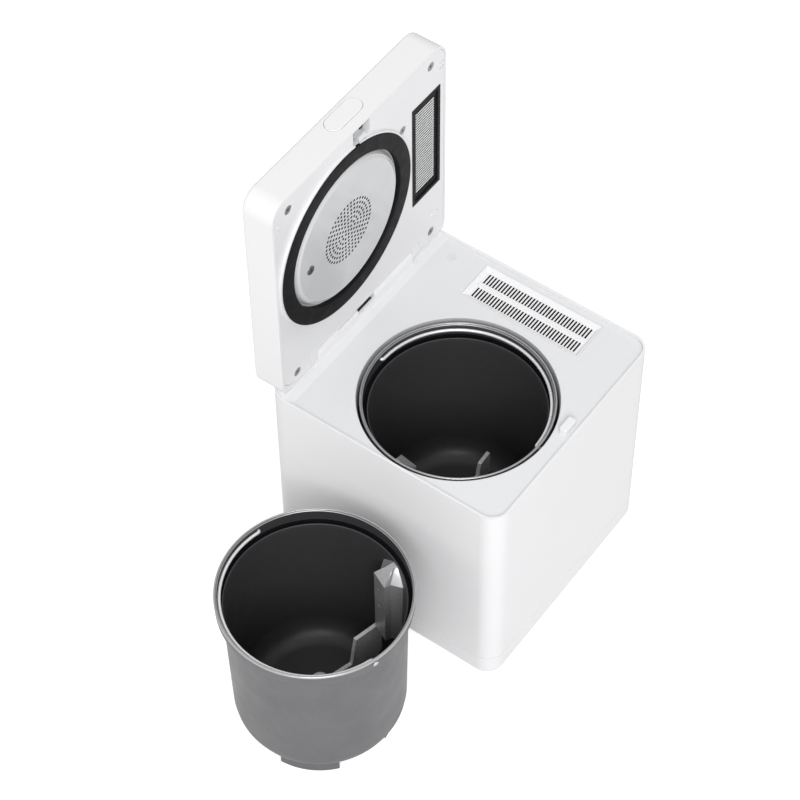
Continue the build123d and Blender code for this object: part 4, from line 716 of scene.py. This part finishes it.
def slat_part():
    """Fine slats in the lid's exhaust window, and its four raised edges."""
    mid_x, mid_y = WINDOW_AT
    section = [(-SLAT_HALF, SLAT_LOW), (SLAT_HALF, SLAT_LOW), (SLAT_HALF, SLAT_HIGH),
               (-SLAT_HALF, SLAT_HIGH)]
    bar = eased([(a, b, 0.1, 0) for a, b in section], 2)
    parts = []
    for k in range(SLATS):
        y = mid_y + (k - (SLATS - 1) / 2) * SLAT_PITCH
        verts, faces, marks = prism(bar, mid_x - SLAT_REACH, mid_x + SLAT_REACH)
        parts.append(([(x, y + a, b) for a, b, x in verts], faces, marks))
    reach_x, reach_y = EDGE_X + EDGE_HALF, EDGE_Y + EDGE_HALF
    for side in (-1, 1):
        x, y = mid_x + side * EDGE_X, mid_y + side * EDGE_Y
        parts.append(window_edge(x - EDGE_HALF, mid_y - reach_y, x + EDGE_HALF, mid_y + reach_y))
        parts.append(window_edge(mid_x - reach_x, y - EDGE_HALF, mid_x + reach_x, y + EDGE_HALF))
    return joined(*parts)


piece("throat_funnel", placed(throat_part(), spun_about((*BUCKET_AT[:2], 0.0))), ("funnel",),
      "machine", "funnel_ring")
piece("lid_ring_seal", on_lid(seal_part(), spun_about(SEAL_AT)), ("seal",), "lid", "lid_gasket")
piece("steam_disc", on_lid(disc_part(), spun_about(SEAL_AT)), ("disc", "dark"), "lid",
      "steam_plate", 24.0)
piece("window_slats", on_lid(slat_part()), ("slat",), "lid", "window_grille")

# ------------------------------------------------------------------ stage, light, camera

WHITE = (1, 1, 1, 1)
FLOOR_HALF = 30.0
FLOOR_TONE = 0.82
FLOOR_GLOW_SEEN = 0.5
FLOOR_GLOW_MIRRORED = 0.2
FILL = 0.68
BACKDROP = 1.0


def ray_level(tree, path, ray, level):
    """The level for one kind of ray and nothing for the others."""
    node = tree.nodes.new("ShaderNodeMath")
    node.operation = "MULTIPLY"
    node.inputs[1].default_value = level
    tree.links.new(path.outputs[ray], node.inputs[0])
    return node


def larger(tree, a, b):
    node = tree.nodes.new("ShaderNodeMath")
    node.operation = "MAXIMUM"
    tree.links.new(a.outputs[0], node.inputs[0])
    tree.links.new(b.outputs[0], node.inputs[1])
    return node


def floor_material():
    """Pale matt floor that the camera sees as white, with the object's shadow kept."""
    material = bpy.data.materials.new("studio_floor")
    material.use_nodes = True
    tree = material.node_tree
    tree.nodes.clear()
    out = tree.nodes.new("ShaderNodeOutputMaterial")
    diffuse = tree.nodes.new("ShaderNodeBsdfDiffuse")
    diffuse.inputs["Color"].default_value = (FLOOR_TONE, FLOOR_TONE, FLOOR_TONE, 1)
    glow = tree.nodes.new("ShaderNodeEmission")
    glow.inputs["Color"].default_value = WHITE
    path = tree.nodes.new("ShaderNodeLightPath")
    seen = ray_level(tree, path, "Is Camera Ray", FLOOR_GLOW_SEEN)
    glossy = ray_level(tree, path, "Is Glossy Ray", FLOOR_GLOW_MIRRORED)
    through = ray_level(tree, path, "Is Transmission Ray", FLOOR_GLOW_MIRRORED)
    level = larger(tree, seen, larger(tree, glossy, through))
    tree.links.new(level.outputs[0], glow.inputs["Strength"])
    add = tree.nodes.new("ShaderNodeAddShader")
    tree.links.new(diffuse.outputs[0], add.inputs[0])
    tree.links.new(glow.outputs[0], add.inputs[1])
    tree.links.new(add.outputs[0], out.inputs["Surface"])
    return material


def stage_floor():
    mesh = bpy.data.meshes.new("studio_floor")
    corners = [(-1, -1), (1, -1), (1, 1), (-1, 1)]
    mesh.from_pydata([(FLOOR_HALF * x, FLOOR_HALF * y, 0) for x, y in corners], [], [(0, 1, 2, 3)])
    mesh.materials.append(floor_material())
    floor = bpy.data.objects.new("studio_floor", mesh)
    scene.collection.objects.link(floor)


def background(tree, strength):
    node = tree.nodes.new("ShaderNodeBackground")
    node.inputs["Color"].default_value = WHITE
    node.inputs["Strength"].default_value = strength
    return node


def world_light():
    """Even fill light, behind which the camera sees plain white."""
    world = bpy.data.worlds.new("studio")
    scene.world = world
    world.use_nodes = True
    tree = world.node_tree
    tree.nodes.clear()
    out = tree.nodes.new("ShaderNodeOutputWorld")
    path = tree.nodes.new("ShaderNodeLightPath")
    mix = tree.nodes.new("ShaderNodeMixShader")
    tree.links.new(path.outputs["Is Camera Ray"], mix.inputs["Fac"])
    tree.links.new(background(tree, FILL).outputs[0], mix.inputs[1])
    tree.links.new(background(tree, BACKDROP).outputs[0], mix.inputs[2])
    tree.links.new(mix.outputs[0], out.inputs["Surface"])


def area_light(name, place, target, size, power):
    light = bpy.data.lights.new(name, "AREA")
    light.shape = "DISK"
    light.size = size
    light.energy = power
    lamp = bpy.data.objects.new(name, light)
    scene.collection.objects.link(lamp)
    lamp.location = place
    lamp.rotation_euler = (Vector(target) - Vector(place)).to_track_quat("-Z", "Y").to_euler()


# The camera solved from the straight edges of the machine and its lid.
LENS = 118.965
SENSOR = 36.0
CAMERA_AT = (-1.32536, -0.90602, 2.31637)
CAMERA_RIGHT = (0.5872042, -0.8094059, -0.0072983)
CAMERA_UP = (0.6448260, 0.4623174, 0.6086560)
CAMERA_BACK = (-0.4892756, -0.3621115, 0.7934007)


def photo_camera():
    data = bpy.data.cameras.new("camera")
    data.lens = LENS
    data.sensor_width = SENSOR
    camera = bpy.data.objects.new("camera", data)
    scene.collection.objects.link(camera)
    rows = zip(CAMERA_RIGHT, CAMERA_UP, CAMERA_BACK, CAMERA_AT)
    camera.matrix_world = Matrix((*rows, (0, 0, 0, 1)))
    scene.camera = camera


stage_floor()
world_light()
area_light("key", (-2.9, -2.2, 3.4), (0, 0, 0.15), 2.4, 128.0)
area_light("top", (0.2, 0.2, 3.0), (0, 0, 0.2), 1.6, 4.0)
photo_camera()
